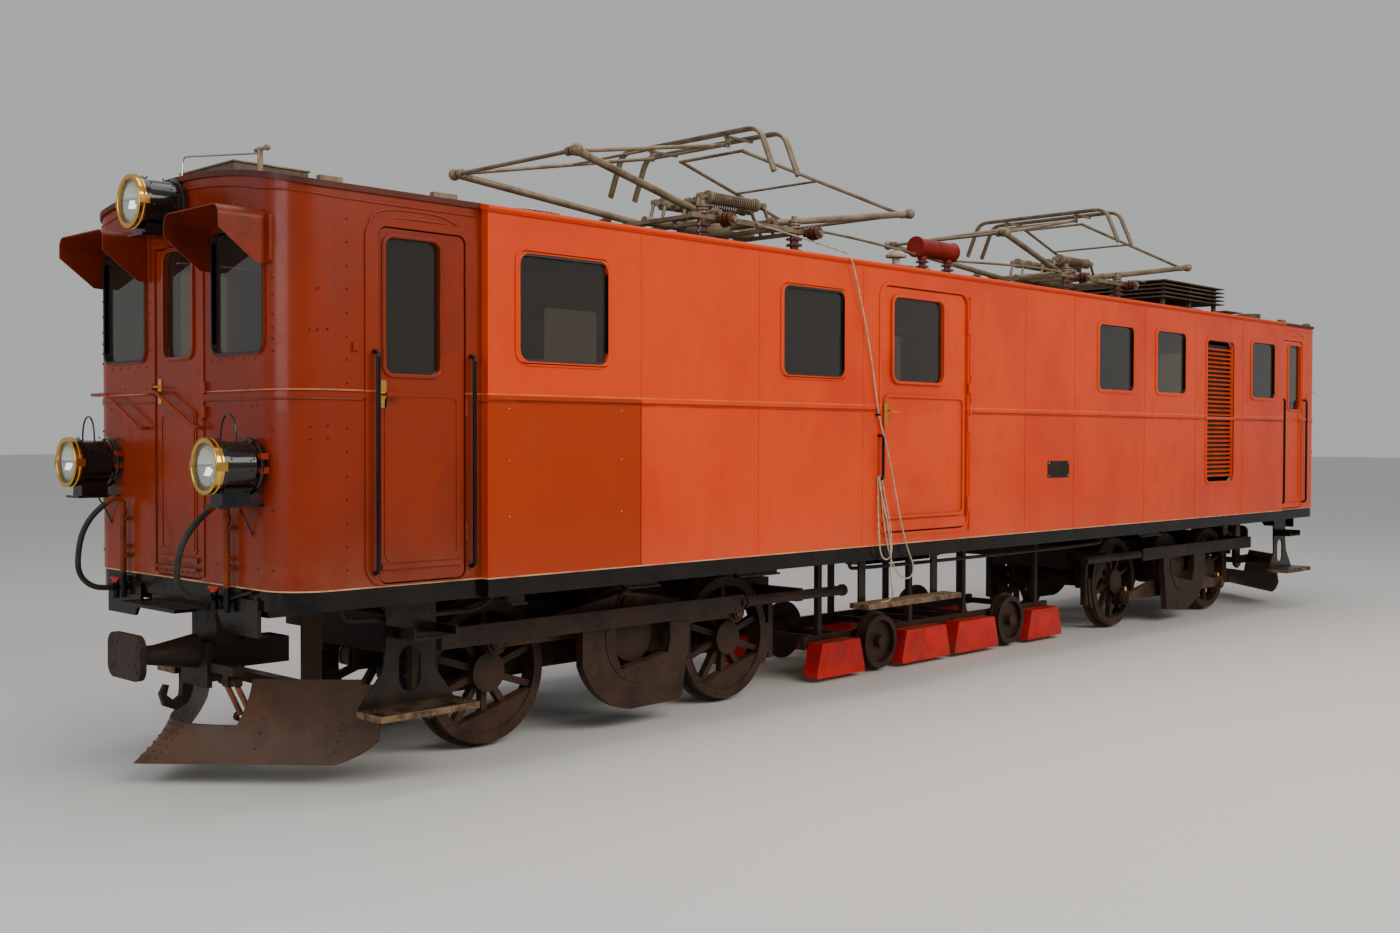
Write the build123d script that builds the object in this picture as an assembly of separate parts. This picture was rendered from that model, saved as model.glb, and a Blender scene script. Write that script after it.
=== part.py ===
# Metre-gauge electric locomotive, rod driven, with two two-axle bogies, a cab at each end
# and two diamond pantographs. Lengths are in millimetres.
# X runs along the body, Y across it and Z up. Z = 0 is the bottom of the wheel flanges.
from build123d import *
import math
import os

os.makedirs("parts", exist_ok=True)

# Body
END = 6600
CAB_START = 5420
MAIN_HALF = 1200
CAB_HALF = 1140
CORNER = 250
WALL = 45
SKIRT_LOW = 988
SKIRT_STEP = 6
SKIRT_DEEP = 34
SILL_LOW = 950
FLOOR_LOW = 1066
BODY_LOW = 1090
WAIST = 2068
GUTTER = 3138
CROWN = 3278
ROOF_THICK = 30
SILL = 2310
HEAD = 2900
PARTITION = 5300
DOOR_GAP = 8
DOOR_LOW = 1104

# Running gear
RAIL_TOP = 28
GAUGE_FACE = 465
TYRE_WIDE = 115
FLANGE = 28
DRIVE_RADIUS = 430
AXLE_Z = DRIVE_RADIUS + RAIL_TOP
BOGIE_X = 3888
AXLE_SPREAD = 1060
JACK_Z = 603
CRANK = 187
PIN_R = 40
ROD_IN = 625
ROD_OUT = 680
EYE_GAP = 0.5
SMALL_RADIUS = 212
SMALL_X = 970
SMALL_Z = SMALL_RADIUS + RAIL_TOP + 2

# Pantographs
PANTO_X = 2500
SHAFT_X = 300
SHAFT_Z = 3470
KNUCKLE_X = 1780
KNUCKLE_Z = 3680
KNUCKLE_Y = 620
EYE_Y = KNUCKLE_Y - 58
HEAD_X = 120
HEAD_Z = 3990
HEAD_Y = 360


def block(x0, x1, y0, y1, z0, z1):
    size = Box(abs(x1 - x0), abs(y1 - y0), abs(z1 - z0))
    return Pos((x0 + x1) / 2, (y0 + y1) / 2, (z0 + z1) / 2) * size


def rod_x(x0, x1, y, z, radius):
    return Pos((x0 + x1) / 2, y, z) * Rot(0, 90, 0) * Cylinder(radius, abs(x1 - x0))


def rod_y(x, y0, y1, z, radius):
    return Pos(x, (y0 + y1) / 2, z) * Rot(90, 0, 0) * Cylinder(radius, abs(y1 - y0))


def rod_z(x, y, z0, z1, radius):
    return Pos(x, y, (z0 + z1) / 2) * Cylinder(radius, abs(z1 - z0))


def bar(start, end, radius):
    a = Vector(*start)
    b = Vector(*end)
    place = Plane(origin=a, z_dir=b - a)
    return place * Pos(0, 0, (b - a).length / 2) * Cylinder(radius, (b - a).length)


def bent_bar(points, bend, radius):
    path = FilletPolyline(*points, radius=bend)
    return sweep(Plane(origin=path @ 0, z_dir=path % 0) * Circle(radius), path=path)


def soft_block_y(x0, x1, y0, y1, z0, z1, radius):
    shape = RectangleRounded(abs(x1 - x0), abs(z1 - z0), radius)
    place = Plane(origin=((x0 + x1) / 2, min(y0, y1), (z0 + z1) / 2), x_dir=(1, 0, 0), z_dir=(0, 1, 0))
    return extrude(place * shape, abs(y1 - y0))


def soft_block_x(x0, x1, y0, y1, z0, z1, radius):
    shape = RectangleRounded(abs(y1 - y0), abs(z1 - z0), radius)
    place = Plane(origin=(min(x0, x1), (y0 + y1) / 2, (z0 + z1) / 2), x_dir=(0, 1, 0), z_dir=(1, 0, 0))
    return extrude(place * shape, abs(x1 - x0))


def prism_y(points, y0, y1):
    place = Plane(origin=(0, min(y0, y1), 0), x_dir=(1, 0, 0), z_dir=(0, -1, 0))
    return extrude(place * make_face(Polyline(*points, close=True)), -abs(y1 - y0))


def prism_x(points, x0, x1):
    place = Plane(origin=(min(x0, x1), 0, 0), x_dir=(0, 1, 0), z_dir=(1, 0, 0))
    return extrude(place * make_face(Polyline(*points, close=True)), abs(x1 - x0))


def flip_x(part):
    return part.mirror(Plane.YZ)


def flip_y(part):
    return part.mirror(Plane.XZ)


def turned(part):
    return Rot(0, 0, 180) * part


# Plan outlines of the body, each pulled in by the given amount.
def cab_outline(inset):
    half = CAB_HALF - inset
    return RectangleRounded(2 * (END - inset), 2 * half, CORNER - inset)


def main_outline(inset):
    return Rectangle(2 * (CAB_START - inset), 2 * (MAIN_HALF - inset))


def body_column(inset, z0, z1):
    cab = extrude(Pos(0, 0, z0) * cab_outline(inset), z1 - z0)
    main = extrude(Pos(0, 0, z0) * main_outline(inset), z1 - z0)
    return cab + main


def arch_z(y):
    bend = (MAIN_HALF ** 2 + (CROWN - GUTTER) ** 2) / (2 * (CROWN - GUTTER))
    return CROWN - bend + math.sqrt(bend ** 2 - y ** 2)


def arch_column(low, drop):
    half = MAIN_HALF + 60
    edge = arch_z(half) - drop
    outline = Polyline((-half, edge), (-half, low), (half, low), (half, edge))
    crown = ThreePointArc((half, edge), (0, CROWN - drop), (-half, edge))
    face = make_face(Curve() + [outline, crown])
    place = Plane(origin=(-END - 50, 0, 0), x_dir=(0, 1, 0), z_dir=(1, 0, 0))
    return extrude(place * face, 2 * END + 100)


ROOF_BULK = arch_column(2000, 0)

# Openings in the main side seen in the picture: left, right, low, high, corner radius
MAIN_WINDOWS = [
    (-5200, -4535, SILL - 15, HEAD, 70),
    (-2940, -2285, SILL - 15, HEAD, 60),
    (1350, 1985, SILL, HEAD - 15, 45),
    (2455, 3045, SILL, HEAD - 15, 45),
    (4596, 5172, SILL, HEAD - 15, 45),
]
LOUVRE = (3525, 4147, 1445, 2855, 55)
MID_DOOR = (-1850, -735, 1175, 2985, 90)
MID_WINDOW = (-1705, -1064, 2290, 2905, 60)
FRONT_WINDOWS = [(392, 900, 2305, 2925, 50)]
FRONT_DOOR = (-262, 262, DOOR_LOW, 2905, 40)
FRONT_DOOR_WINDOW = (-160, 160, 2305, 2880, 45)
CAB_DOOR = (-6085, -5530, DOOR_LOW, 2960, 50)
CAB_DOOR_WINDOW = (-6040, -5700, 2200, 2905, 45)


def wall_frame(opening, y, grow, thick):
    x0, x1, z0, z1, radius = opening
    ring = soft_block_y(x0 - grow, x1 + grow, y - thick, y, z0 - grow, z1 + grow, radius + grow)
    return ring - soft_block_y(x0, x1, y - 2 * thick, y + thick, z0, z1, radius)


def side_wall():
    wall = block(-CAB_START, CAB_START, -MAIN_HALF, -MAIN_HALF + WALL, BODY_LOW, GUTTER + 60)
    for end in (-1, 1):
        wall += block(end * CAB_START, end * (CAB_START - 35), -MAIN_HALF, -CAB_HALF + WALL,
                      BODY_LOW, GUTTER + 60)
    for x0, x1, z0, z1, radius in MAIN_WINDOWS + [LOUVRE, MID_DOOR]:
        wall -= soft_block_y(x0, x1, -MAIN_HALF - 10, -MAIN_HALF + WALL + 10, z0, z1, radius)
    for opening in MAIN_WINDOWS + [LOUVRE]:
        wall += wall_frame(opening, -MAIN_HALF, 24, 9)
    belt = block(-CAB_START, CAB_START, -MAIN_HALF - 6, -MAIN_HALF, WAIST, WAIST + 26)
    belt -= block(MID_DOOR[0], MID_DOOR[1], -MAIN_HALF - 10, -MAIN_HALF, WAIST - 5, WAIST + 40)
    wall += belt
    return wall & arch_column(0, ROOF_THICK)


def cab_shell():
    tall = CROWN + 50 - BODY_LOW
    shell = extrude(Pos(0, 0, BODY_LOW) * cab_outline(0), tall)
    shell -= extrude(Pos(0, 0, BODY_LOW) * cab_outline(WALL), tall)
    shell &= block(-END - 10, -CAB_START, -2000, 2000, 0, 5000)
    belt = extrude(Pos(0, 0, WAIST) * cab_outline(-6), 26) - extrude(Pos(0, 0, WAIST) * cab_outline(0), 26)
    shell += belt & block(-END - 50, -CAB_START, -2000, 2000, 0, 5000)
    for y0, y1, z0, z1, radius in FRONT_WINDOWS:
        for side in (-1, 1):
            cut = soft_block_x(-END - 60, -END + 60, side * y0, side * y1, z0, z1, radius)
            ring = soft_block_x(-END - 9, -END, side * (y0 - 20), side * (y1 + 20),
                                z0 - 20, z1 + 20, radius + 20)
            shell = shell + ring - cut
    y0, y1, z0, z1, radius = FRONT_DOOR
    shell -= soft_block_x(-END - 60, -END + 60, y0, y1, z0, z1, radius)
    x0, x1, z0, z1, radius = CAB_DOOR
    for side in (-1, 1):
        wall_y = side * CAB_HALF
        ring = soft_block_y(x0 - 80, x1 + 80, wall_y, wall_y + side * 9, z0 - 5, z1 + 45, radius + 60)
        cut = soft_block_y(x0, x1, wall_y - side * 80, wall_y + side * 30, z0, z1, radius)
        shell = shell + ring - cut
    return shell & arch_column(0, ROOF_THICK)


def roof():
    shell = arch_column(2900, 0) - arch_column(2000, ROOF_THICK)
    plan = body_column(-14, 2900, 3500)
    shell &= plan
    for y in (-MAIN_HALF - 14, MAIN_HALF + 14):
        shell += rod_x(-CAB_START - 14, CAB_START + 14, y, GUTTER - 14, 14)
    return shell


def partitions():
    wall = block(-PARTITION, -PARTITION + 30, -MAIN_HALF + WALL, MAIN_HALF - WALL, BODY_LOW, CROWN)
    wall &= arch_column(0, ROOF_THICK)
    wall -= block(-PARTITION - 10, -PARTITION + 50, -300, 300, BODY_LOW + 10, 2950)
    return wall + flip_x(wall)


def machinery():
    left = block(-4700, -2300, -480, 480, BODY_LOW, 2150)
    return left + flip_x(left)


def floor():
    return body_column(SKIRT_DEEP, FLOOR_LOW, BODY_LOW)


# The skirt runs along each side, and round each end with the plates that carry the front pipes.
def skirts():
    band = body_column(SKIRT_STEP, SKIRT_LOW, BODY_LOW)
    band -= body_column(SKIRT_DEEP, SKIRT_LOW - 5, BODY_LOW + 5)
    split = CAB_START - 4
    side = band & block(-split, split, -1300, -1000, 900, 1200)
    end = band & block(-END - 50, -split - 2, -1300, 1300, 900, 1200)
    face = END - SKIRT_STEP
    for way in (-1, 1):
        plate = [(way * 440, 1040), (way * 860, 1040), (way * 860, 850), (way * 520, 850), (way * 440, 960)]
        end += prism_x(plate, -face, -face - 20)
    return [side, flip_y(side), end, flip_x(end)]


def underframe():
    frame = None
    for y in (-1, 1):
        sill = block(-6400, 6400, y * 200, y * 310, SILL_LOW, FLOOR_LOW)
        frame = sill if frame is None else frame + sill
    face = END - SKIRT_DEEP
    for end in (-1, 1):
        frame += block(end * 6320, end * face, -880, 880, SILL_LOW, FLOOR_LOW)
        frame += block(end * 5950, end * 6180, -440, 440, SILL_LOW, FLOOR_LOW)
        frame += block(end * (BOGIE_X - 170), end * (BOGIE_X + 170), -430, 430, 940, FLOOR_LOW)
        frame += rod_z(end * BOGIE_X, 0, 700, 960, 90)
        frame += rod_z(end * BOGIE_X, 0, 905, 960, 210)
        frame += block(end * (face - 10), end * 6790, -320, 320, 945, 963)
        frame += block(end * (face - 10), end * 6600, -330, 330, 945, SKIRT_LOW)
    return frame


# Doors swing inward about an axis at their inner face.
def side_leaf(opening, window, y, thick):
    x0, x1, z0, z1, radius = opening
    gap = DOOR_GAP
    leaf = soft_block_y(x0 + gap, x1 - gap, y, y + thick, z0 + gap, z1 - gap, radius - gap)
    x0, x1, z0, z1, radius = window
    leaf += soft_block_y(x0 - 22, x1 + 22, y - 8, y, z0 - 22, z1 + 22, radius + 22)
    return leaf - soft_block_y(x0, x1, y - 30, y + thick + 30, z0, z1, radius)


def cab_door():
    leaf = side_leaf(CAB_DOOR, CAB_DOOR_WINDOW, -CAB_HALF, WALL)
    leaf += block(-6065, -5560, -CAB_HALF - 14, -CAB_HALF, 1180, 1206)
    leaf += rod_y(-6055, -CAB_HALF - 55, -CAB_HALF, 2092, 9)
    leaf += block(-6070, -5960, -CAB_HALF - 62, -CAB_HALF - 46, 2083, 2101)
    return leaf


def mid_door():
    return side_leaf(MID_DOOR, MID_WINDOW, -MAIN_HALF + 14, WALL)


def front_door():
    y0, y1, z0, z1, radius = FRONT_DOOR
    gap = DOOR_GAP
    leaf = soft_block_x(-END, -END + WALL, y0 + gap, y1 - gap, z0 + gap, z1 - gap, radius - gap)
    y0, y1, z0, z1, radius = FRONT_DOOR_WINDOW
    leaf += soft_block_x(-END - 8, -END, y0 - 22, y1 + 22, z0 - 22, z1 + 22, radius + 22)
    leaf += block(-END - 14, -END, -225, 225, 1190, 1218)
    return leaf - soft_block_x(-END - 30, -END + WALL + 30, y0, y1, z0, z1, radius)


def glass():
    panes = []
    for x0, x1, z0, z1, radius in MAIN_WINDOWS:
        pane = soft_block_y(x0, x1, -MAIN_HALF + 14, -MAIN_HALF + 22, z0, z1, radius)
        panes += [pane, turned(pane)]
    for y0, y1, z0, z1, radius in FRONT_WINDOWS:
        pane = soft_block_x(-END + 14, -END + 22, y0, y1, z0, z1, radius)
        pane = pane + flip_y(pane)
        panes += [pane, turned(pane)]
    return panes


def louvres():
    x0, x1, z0, z1, radius = LOUVRE
    slats = block(x0 + 6, x0 + 30, -MAIN_HALF + 6, -MAIN_HALF + 40, z0 + 40, z1 - 40)
    slats += block(x1 - 30, x1 - 6, -MAIN_HALF + 6, -MAIN_HALF + 40, z0 + 40, z1 - 40)
    slats += block(x0 + 30, x1 - 30, -MAIN_HALF + 34, -MAIN_HALF + 40, z0 + 40, z1 - 40)
    count = 30
    pitch = (z1 - z0 - 100) / count
    for row in range(count):
        z = z0 + 50 + pitch * row
        lean = [(-MAIN_HALF + 4, z), (-MAIN_HALF + 36, z + 26), (-MAIN_HALF + 36, z + 30),
                (-MAIN_HALF + 4, z + 5)]
        slats += prism_x(lean, x0 + 20, x1 - 20)
    return slats + turned(slats)


# Hood over a front window: a bent sheet that stands on the wall round the window's frame
VISOR_Y = (358, 934)
VISOR_OUT = 257
VISOR_TOP = 3012
VISOR_BEND = 55
VISOR_SHEET = 6


def visor():
    y0, y1 = VISOR_Y
    sheet = VISOR_SHEET
    hood = soft_block_x(-END - VISOR_OUT, -END + 60, y0, y1, 2400, VISOR_TOP, VISOR_BEND)
    hood -= soft_block_x(-END - 400, -END + 100, y0 + sheet, y1 - sheet, 2300, VISOR_TOP - sheet,
                         VISOR_BEND - sheet)
    # The cheeks' free edge runs from the front corner back and down to the foot.
    cheek = [(-END + 200, 3200), (-END - 400, 3200), (-END - 400, 2895), (-END - VISOR_OUT, 2895),
             (-END - 58, 2738), (-END + 200, 2722)]
    hood &= prism_y(cheek, y0 - 10, y1 + 10)
    for y in (y0 - 38, y1 - sheet):
        hood += soft_block_x(-END - 5, -END + 40, y, y + 38 + sheet, 2738, 2985, 18)
    return hood - extrude(Pos(0, 0, 2300) * cab_outline(0), 900)


def sun_visors():
    hoods = visor()
    hoods += flip_y(hoods)
    return hoods + turned(hoods)


# Lamps: y, z of the centre and how far the bracket foot lies below it
LAMPS = [(-815, 1722, 190), (815, 1722, 190), (0, 3118, 165)]
LAMP_R = 140
LAMP_FACE = END + 270


def lamp_drums():
    drums = None
    for y, z, foot in LAMPS:
        drum = rod_x(-LAMP_FACE + 30, -END - 60, y, z, LAMP_R - 14)
        drum += rod_x(-LAMP_FACE + 30, -LAMP_FACE + 60, y, z, LAMP_R)
        drum -= rod_x(-LAMP_FACE, -LAMP_FACE + 110, y, z, LAMP_R - 34)
        drum += block(-END - 210, -END - 60, y - 60, y + 60, z - foot, z - LAMP_R + 40)
        drum += block(-END - 240, -END, y - 85, y + 85, z - foot - 14, z - foot)
        drum += block(-END - 70, -END, y - 40, y + 40, z - 60, z - 20)
        drums = drum if drums is None else drums + drum
    return drums + turned(drums)


def lamp_rims():
    rims = None
    for y, z, _ in LAMPS:
        rim = rod_x(-LAMP_FACE - 6, -LAMP_FACE + 30, y, z, LAMP_R + 2)
        rim -= rod_x(-LAMP_FACE - 20, -LAMP_FACE + 40, y, z, LAMP_R - 22)
        rims = rim if rims is None else rims + rim
    return rims + turned(rims)


def lamp_glass():
    lenses = None
    for y, z, _ in LAMPS:
        lens = rod_x(-LAMP_FACE + 4, -LAMP_FACE + 18, y, z, LAMP_R - 22)
        lenses = lens if lenses is None else lenses + lens
    return lenses + turned(lenses)


def handrails():
    rails = None
    for x in (-6113, -5500):
        y = -CAB_HALF - 48
        foot = -CAB_HALF - 9
        path = [(x, foot, 1168), (x, y, 1168), (x, y, 2310), (x, foot, 2310)]
        rail = bent_bar(path, 30, 12)
        rails = rail if rails is None else rails + rail
    rails += flip_y(rails)
    for y0, y1, y2 in ((300, 160, -290), (985, 790, 360)):
        path = [
            (-END, y0, 2114),
            (-END - 55, y0, 2114),
            (-END - 55, y1, 2114),
            (-END - 55, y2, 1918),
            (-END, y2, 1918),
        ]
        rails += bent_bar(path, 20, 10)
    grip = [(-1880, -MAIN_HALF, 1575), (-1880, -MAIN_HALF - 45, 1575), (-1880, -MAIN_HALF - 45, 1890),
            (-1880, -MAIN_HALF, 1890)]
    rails += bent_bar(grip, 25, 11)
    rails += turned(rails)
    x, y, z = ROPE_RING
    ring = rod_z(x, y, z - 8, z + 8, 17) + block(x - 12, x + 12, -MAIN_HALF, y, z - 8, z + 8)
    ring -= rod_z(x, y, z - 20, z + 20, 10)
    return rails + ring


def footsteps():
    y = -1010
    hanger = [(-5960, 1066), (-5640, 1066), (-5640, 760), (-5650, 620), (-5520, 445), (-5520, 405),
              (-6130, 405), (-6130, 445), (-5985, 620), (-5960, 760)]
    side = prism_y(hanger, y, y - 14)
    side -= soft_block_y(-5880, -5740, y - 40, y + 40, 505, 750, 68)
    side += block(-5960, -5640, y, y + 30, 950, 1066)
    side += block(-5900, -5645, y - 200, y - 4, 800, 814)
    side += block(-5910, -5900, y - 200, y - 4, 800, 860)
    side += block(-5645, -5635, y - 200, y - 4, 800, 860)
    side += block(-6135, -5510, y - 230, y - 4, 404, 440)
    pair = side + flip_y(side)
    pair += flip_x(pair)
    board = block(-2030, -855, -1235, -1060, 640, 672)
    for x in (-1900, -985):
        board += block(x - 40, x + 40, -1075, -1061, 665, 1066)
    return pair + board + turned(board)


# Plough: its ridge lies on the middle line, and its blades sweep back at BLADE_TURN
BLADE_TURN = Vector(0.747, 0.665, 0)
BLADE_LOW = 122
BLADE_HIGH = 570
BLADE_THICK = 18


def blade_face(foot, high, lean, hollow, back):
    # One upright slice of the near blade: a hollow front arc, and its offset behind.
    a = Vector(foot[0], foot[1], BLADE_LOW)
    b = a + back * lean + Vector(0, 0, high - BLADE_LOW)
    middle = (a + b) / 2 + back * hollow
    rear = back * BLADE_THICK
    front_arc = ThreePointArc(a, middle, b)
    rear_arc = ThreePointArc(b + rear, middle + rear, a + rear)
    return make_face(Curve() + [front_arc, Line(b, b + rear), rear_arc, Line(a + rear, a)])


def blade_trim():
    # Seen from the front, what is cut off a blade: its round lower corner, and steps along the top.
    corner = ThreePointArc((-800, BLADE_LOW - 2), (-925, 215), (-990, 400))
    rest = Polyline((-990, 400), (-1300, 400), (-1300, 0), (-800, 0), (-800, BLADE_LOW - 2))
    place = Plane(origin=(-7000, 0, 0), x_dir=(0, 1, 0), z_dir=(1, 0, 0))
    trim = extrude(place * make_face(Curve() + [corner, rest]), 1500)
    trim += prism_x([(-870, 700), (-870, 546), (-1300, 500), (-1300, 700)], -7000, -5500)
    notch = [(50, 700), (50, 315), (-350, 315), (-430, BLADE_HIGH), (-430, 700)]
    return trim + prism_x(notch, -7000, -5500)


def plough():
    ridge = blade_face((-6870, 0), 325, 285, -6, Vector(1, 0, 0))
    middle = blade_face((-6497, -420), BLADE_HIGH, 60, 48, BLADE_TURN)
    outer = blade_face((-5995, -985), BLADE_HIGH, 60, 30, BLADE_TURN)
    blade = loft([ridge, middle], ruled=True) + loft([middle, outer], ruled=True)
    blade -= blade_trim()
    both = blade + flip_y(blade)
    for y in (-430, 430):
        both += block(-6368, -5990, y - 12, y + 12, 430, 520)
        both += block(-6110, -5990, y - 12, y + 12, 430, SILL_LOW)
    both += block(-6090, -6010, -430, 430, 440, 500)
    return both + flip_x(both)


# Draw gear: a central buffer over a cross lever, with a hook at one side and a screw coupling at the other
LEVER_Z = 615
HOOK_Y = 225
SCREW_Y = -280


def screw_coupling():
    pin_x, screw_x, screw_z = -6455, -6352, 330
    screw = rod_y(pin_x, SCREW_Y - 75, SCREW_Y + 75, LEVER_Z - 70, 20)
    screw += block(pin_x - 30, pin_x + 30, SCREW_Y - 30, SCREW_Y + 30, LEVER_Z - 95, LEVER_Z)
    for y in (SCREW_Y - 60, SCREW_Y + 60):
        screw += bar((pin_x, y, LEVER_Z - 70), (screw_x, y, screw_z), 13)
    screw += rod_y(screw_x, SCREW_Y - 118, SCREW_Y + 118, screw_z, 17)
    for y in (SCREW_Y - 92, SCREW_Y + 92):
        screw += rod_y(screw_x, y - 20, y + 20, screw_z, 27)
    screw += bar((screw_x, SCREW_Y, screw_z), (screw_x - 25, SCREW_Y, screw_z - 110), 9)
    return screw + Pos(screw_x - 26, SCREW_Y, screw_z - 116) * Sphere(17)


def hook():
    outline = [(-6470, 640), (-6420, 640), (-6420, 440), (-6450, 370), (-6520, 335), (-6590, 365),
               (-6612, 435), (-6585, 485), (-6562, 480), (-6575, 425), (-6530, 388), (-6490, 415),
               (-6480, 480)]
    return prism_y(outline, HOOK_Y - 18, HOOK_Y + 18)


def draw_gear():
    gear = block(-6500, -6000, -110, 110, 590, 735)
    gear += block(-6460, -6330, -140, 140, 730, SILL_LOW)
    gear += block(-6520, -6490, -150, 150, 500, 745)
    # The buffer's plate and its stem, which widens towards the body
    gear += rod_x(-6900, -6510, 0, 700, 46)
    gear += Pos(-6660, 0, 690) * Rot(0, 90, 0) * Cone(46, 96, 290)
    gear += soft_block_x(-6915, -6880, -195, 195, 580, 822, 70)
    gear += block(-6505, -6435, -400, 400, LEVER_Z - 25, LEVER_Z + 25)
    gear += hook() + screw_coupling()
    return gear + turned(gear)


# Brake pipe on the end: y of the pipe, and y and z of the cock that its hose comes down to
AIR_PIPES = [(-600, -465, 1030), (600, 700, 1000)]
PIPE_X = END + 42
NECK = [(-PIPE_X, 1502), (-PIPE_X - 58, 1524), (-PIPE_X - 103, 1488)]
COCK_X = END + 64


def air_pipes():
    pipes = None
    for y, cock_y, cock_z in AIR_PIPES:
        path = [(-PIPE_X, y, 962)] + [(x, y, z) for x, z in NECK]
        pipe = bent_bar(path, 26, 17)
        pipe += block(-END - 40, -END, y - 25, y + 25, 1230, 1250)
        pipe += rod_z(-PIPE_X, y, 1425, 1462, 23)
        cock = rod_x(-COCK_X, -END - 30, cock_y, cock_z, 21)
        cock += rod_z(-END - 40, cock_y, cock_z - 62, cock_z + 34, 19)
        cock += block(-END - 40, -END - 14, cock_y - 14, cock_y + 14, cock_z - 12, cock_z + 8)
        pipes = pipe + cock if pipes is None else pipes + pipe + cock
    return pipes + turned(pipes)


# Hoses and the rope hang free. Each arc takes up as much as its two runs allow.
def arc_radii(points):
    corners = [Vector(*p) for p in points]
    radii = []
    for a, b, c in zip(corners, corners[1:], corners[2:]):
        turn = math.radians((b - a).get_angle(c - b))
        radii.append(0.45 * min((b - a).length, (c - b).length) / math.tan(turn / 2))
    return radii


def cord_tube(points, diameter):
    radii = arc_radii(points)
    print([round(radius / diameter, 1) for radius in radii])
    path = FilletPolyline(*points, radius=radii)
    tube = sweep(Plane(origin=path @ 0, z_dir=path % 0) * Circle(diameter / 2), path=path)
    print(round(tube.volume / (math.pi * (diameter / 2) ** 2 * path.length), 3), round(path.length))
    return tube


HOSE_WIDE = 32
# Hose routes, from the end of the pipe's neck outward and down to the cock
HOSES = [
    [(-6745, -600, 1488), (-6807.5, -600, 1438), (-6855, -588, 1368), (-6878, -563, 1293),
     (-6878, -521, 1173), (-6851, -492, 1107), (-6801, -473, 1057), (-6735, -465, 1030),
     (-6664, -465, 1030)],
    [(-6745, 600, 1488), (-6807.5, 600, 1438), (-6855, 608, 1366), (-6878, 627, 1284), (-6878, 664, 1146),
     (-6851, 684, 1077), (-6801, 696, 1027), (-6735, 700, 1000), (-6664, 700, 1000)],
]


def brake_hoses():
    hoses = [cord_tube(route, HOSE_WIDE) for route in HOSES]
    return hoses + [turned(hose) for hose in hoses]


ROPE_WIDE = 11
ROPE_RING = (-1905, -1220, 2040)
# The collector rope: from its clamp on the collector's base, over the gutter, through the ring on the
# wall, down in a long loop, twice over the foot of the grip with a short loop between, and to the board
ROPE = [
    (-2452, -536, 3420), (-2290, -1208, 3180), (-2271, -1243, 3144), (-2240, -1242, 3092),
    (-2192, -1239, 2985), (-2114, -1233, 2788), (-2040, -1228, 2580), (-1984, -1224, 2375),
    (-1938, -1221, 2195), (-1905, -1220, 2040), (-1868, -1224, 1935), (-1808, -1229, 1785),
    (-1748, -1232, 1595), (-1690, -1235, 1390), (-1630, -1237, 1200), (-1572, -1238, 1062),
    (-1518, -1238, 972), (-1490, -1238, 914), (-1496, -1237, 868), (-1532, -1236, 838),
    (-1582, -1234, 832), (-1640, -1231, 852), (-1702, -1228, 905), (-1757, -1224, 990),
    (-1800, -1221, 1105), (-1830, -1218, 1240), (-1848, -1214, 1370), (-1858, -1211, 1480),
    (-1862, -1209, 1545), (-1862.5, -1209, 1592.5), (-1897.5, -1209, 1592.5), (-1898, -1210, 1545),
    (-1903, -1215, 1470), (-1913, -1226, 1350), (-1919, -1236, 1220), (-1916, -1240, 1110),
    (-1900, -1241, 1035), (-1863, -1241, 993), (-1812, -1241, 988), (-1775, -1241, 1022),
    (-1764, -1240, 1085), (-1775, -1238, 1200), (-1805, -1234, 1330), (-1838, -1229, 1445),
    (-1857, -1225, 1530), (-1862.5, -1223, 1592.5), (-1897.5, -1223, 1592.5), (-1897, -1227, 1535),
    (-1888, -1240, 1450), (-1865, -1252, 1340), (-1833, -1257, 1225), (-1807, -1257, 1110),
    (-1795, -1256, 1000), (-1796, -1253, 900), (-1782, -1248, 815), (-1752, -1243, 757),
    (-1742, -1232, 713), (-1762, -1216, 684), (-1807, -1205, 678), (-1853, -1205, 678),
]


def pull_rope():
    return cord_tube(ROPE, ROPE_WIDE)


# Bogies
def wheel_disc(side):
    inner = GAUGE_FACE
    outer = GAUGE_FACE + TYRE_WIDE
    tyre = rod_y(0, inner, outer, 0, DRIVE_RADIUS)
    tyre += rod_y(0, inner, inner + 30, 0, DRIVE_RADIUS + FLANGE)
    tyre -= rod_y(0, inner - 5, outer + 5, 0, DRIVE_RADIUS - 62)
    tyre += rod_y(0, inner + 20, outer + 20, 0, 118)
    for index in range(10):
        angle = 18 + 36 * index
        spoke = block(60, DRIVE_RADIUS - 50, inner + 35, outer - 30, -21, 21)
        tyre += Rot(0, angle, 0) * spoke
    return tyre if side > 0 else flip_y(tyre)


# Counterweight: how far its straight edge lies from the axle, and its lean in degrees
WEIGHT_EDGE = 228
WEIGHT_LEAN = 16


def crank_web(side, angle):
    # Boss for the crank pin, and the counterweight on the other side of the axle.
    x = CRANK * math.cos(math.radians(angle))
    z = CRANK * math.sin(math.radians(angle))
    face = GAUGE_FACE + TYRE_WIDE
    web = rod_y(x, face - 60, face + 28, z, 72)
    web += rod_y(x, face, ROD_OUT + 14, z, PIN_R)
    web += rod_y(x, ROD_OUT + 4, ROD_OUT + 24, z, PIN_R + 14)
    weight = rod_y(0, face - 85, face - 6, 0, DRIVE_RADIUS - 55)
    weight -= Rot(0, 90 - angle + side * WEIGHT_LEAN, 0) * block(-600, 600, 0, 900, -WEIGHT_EDGE, 700)
    web += weight
    return web if side > 0 else flip_y(web)


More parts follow.
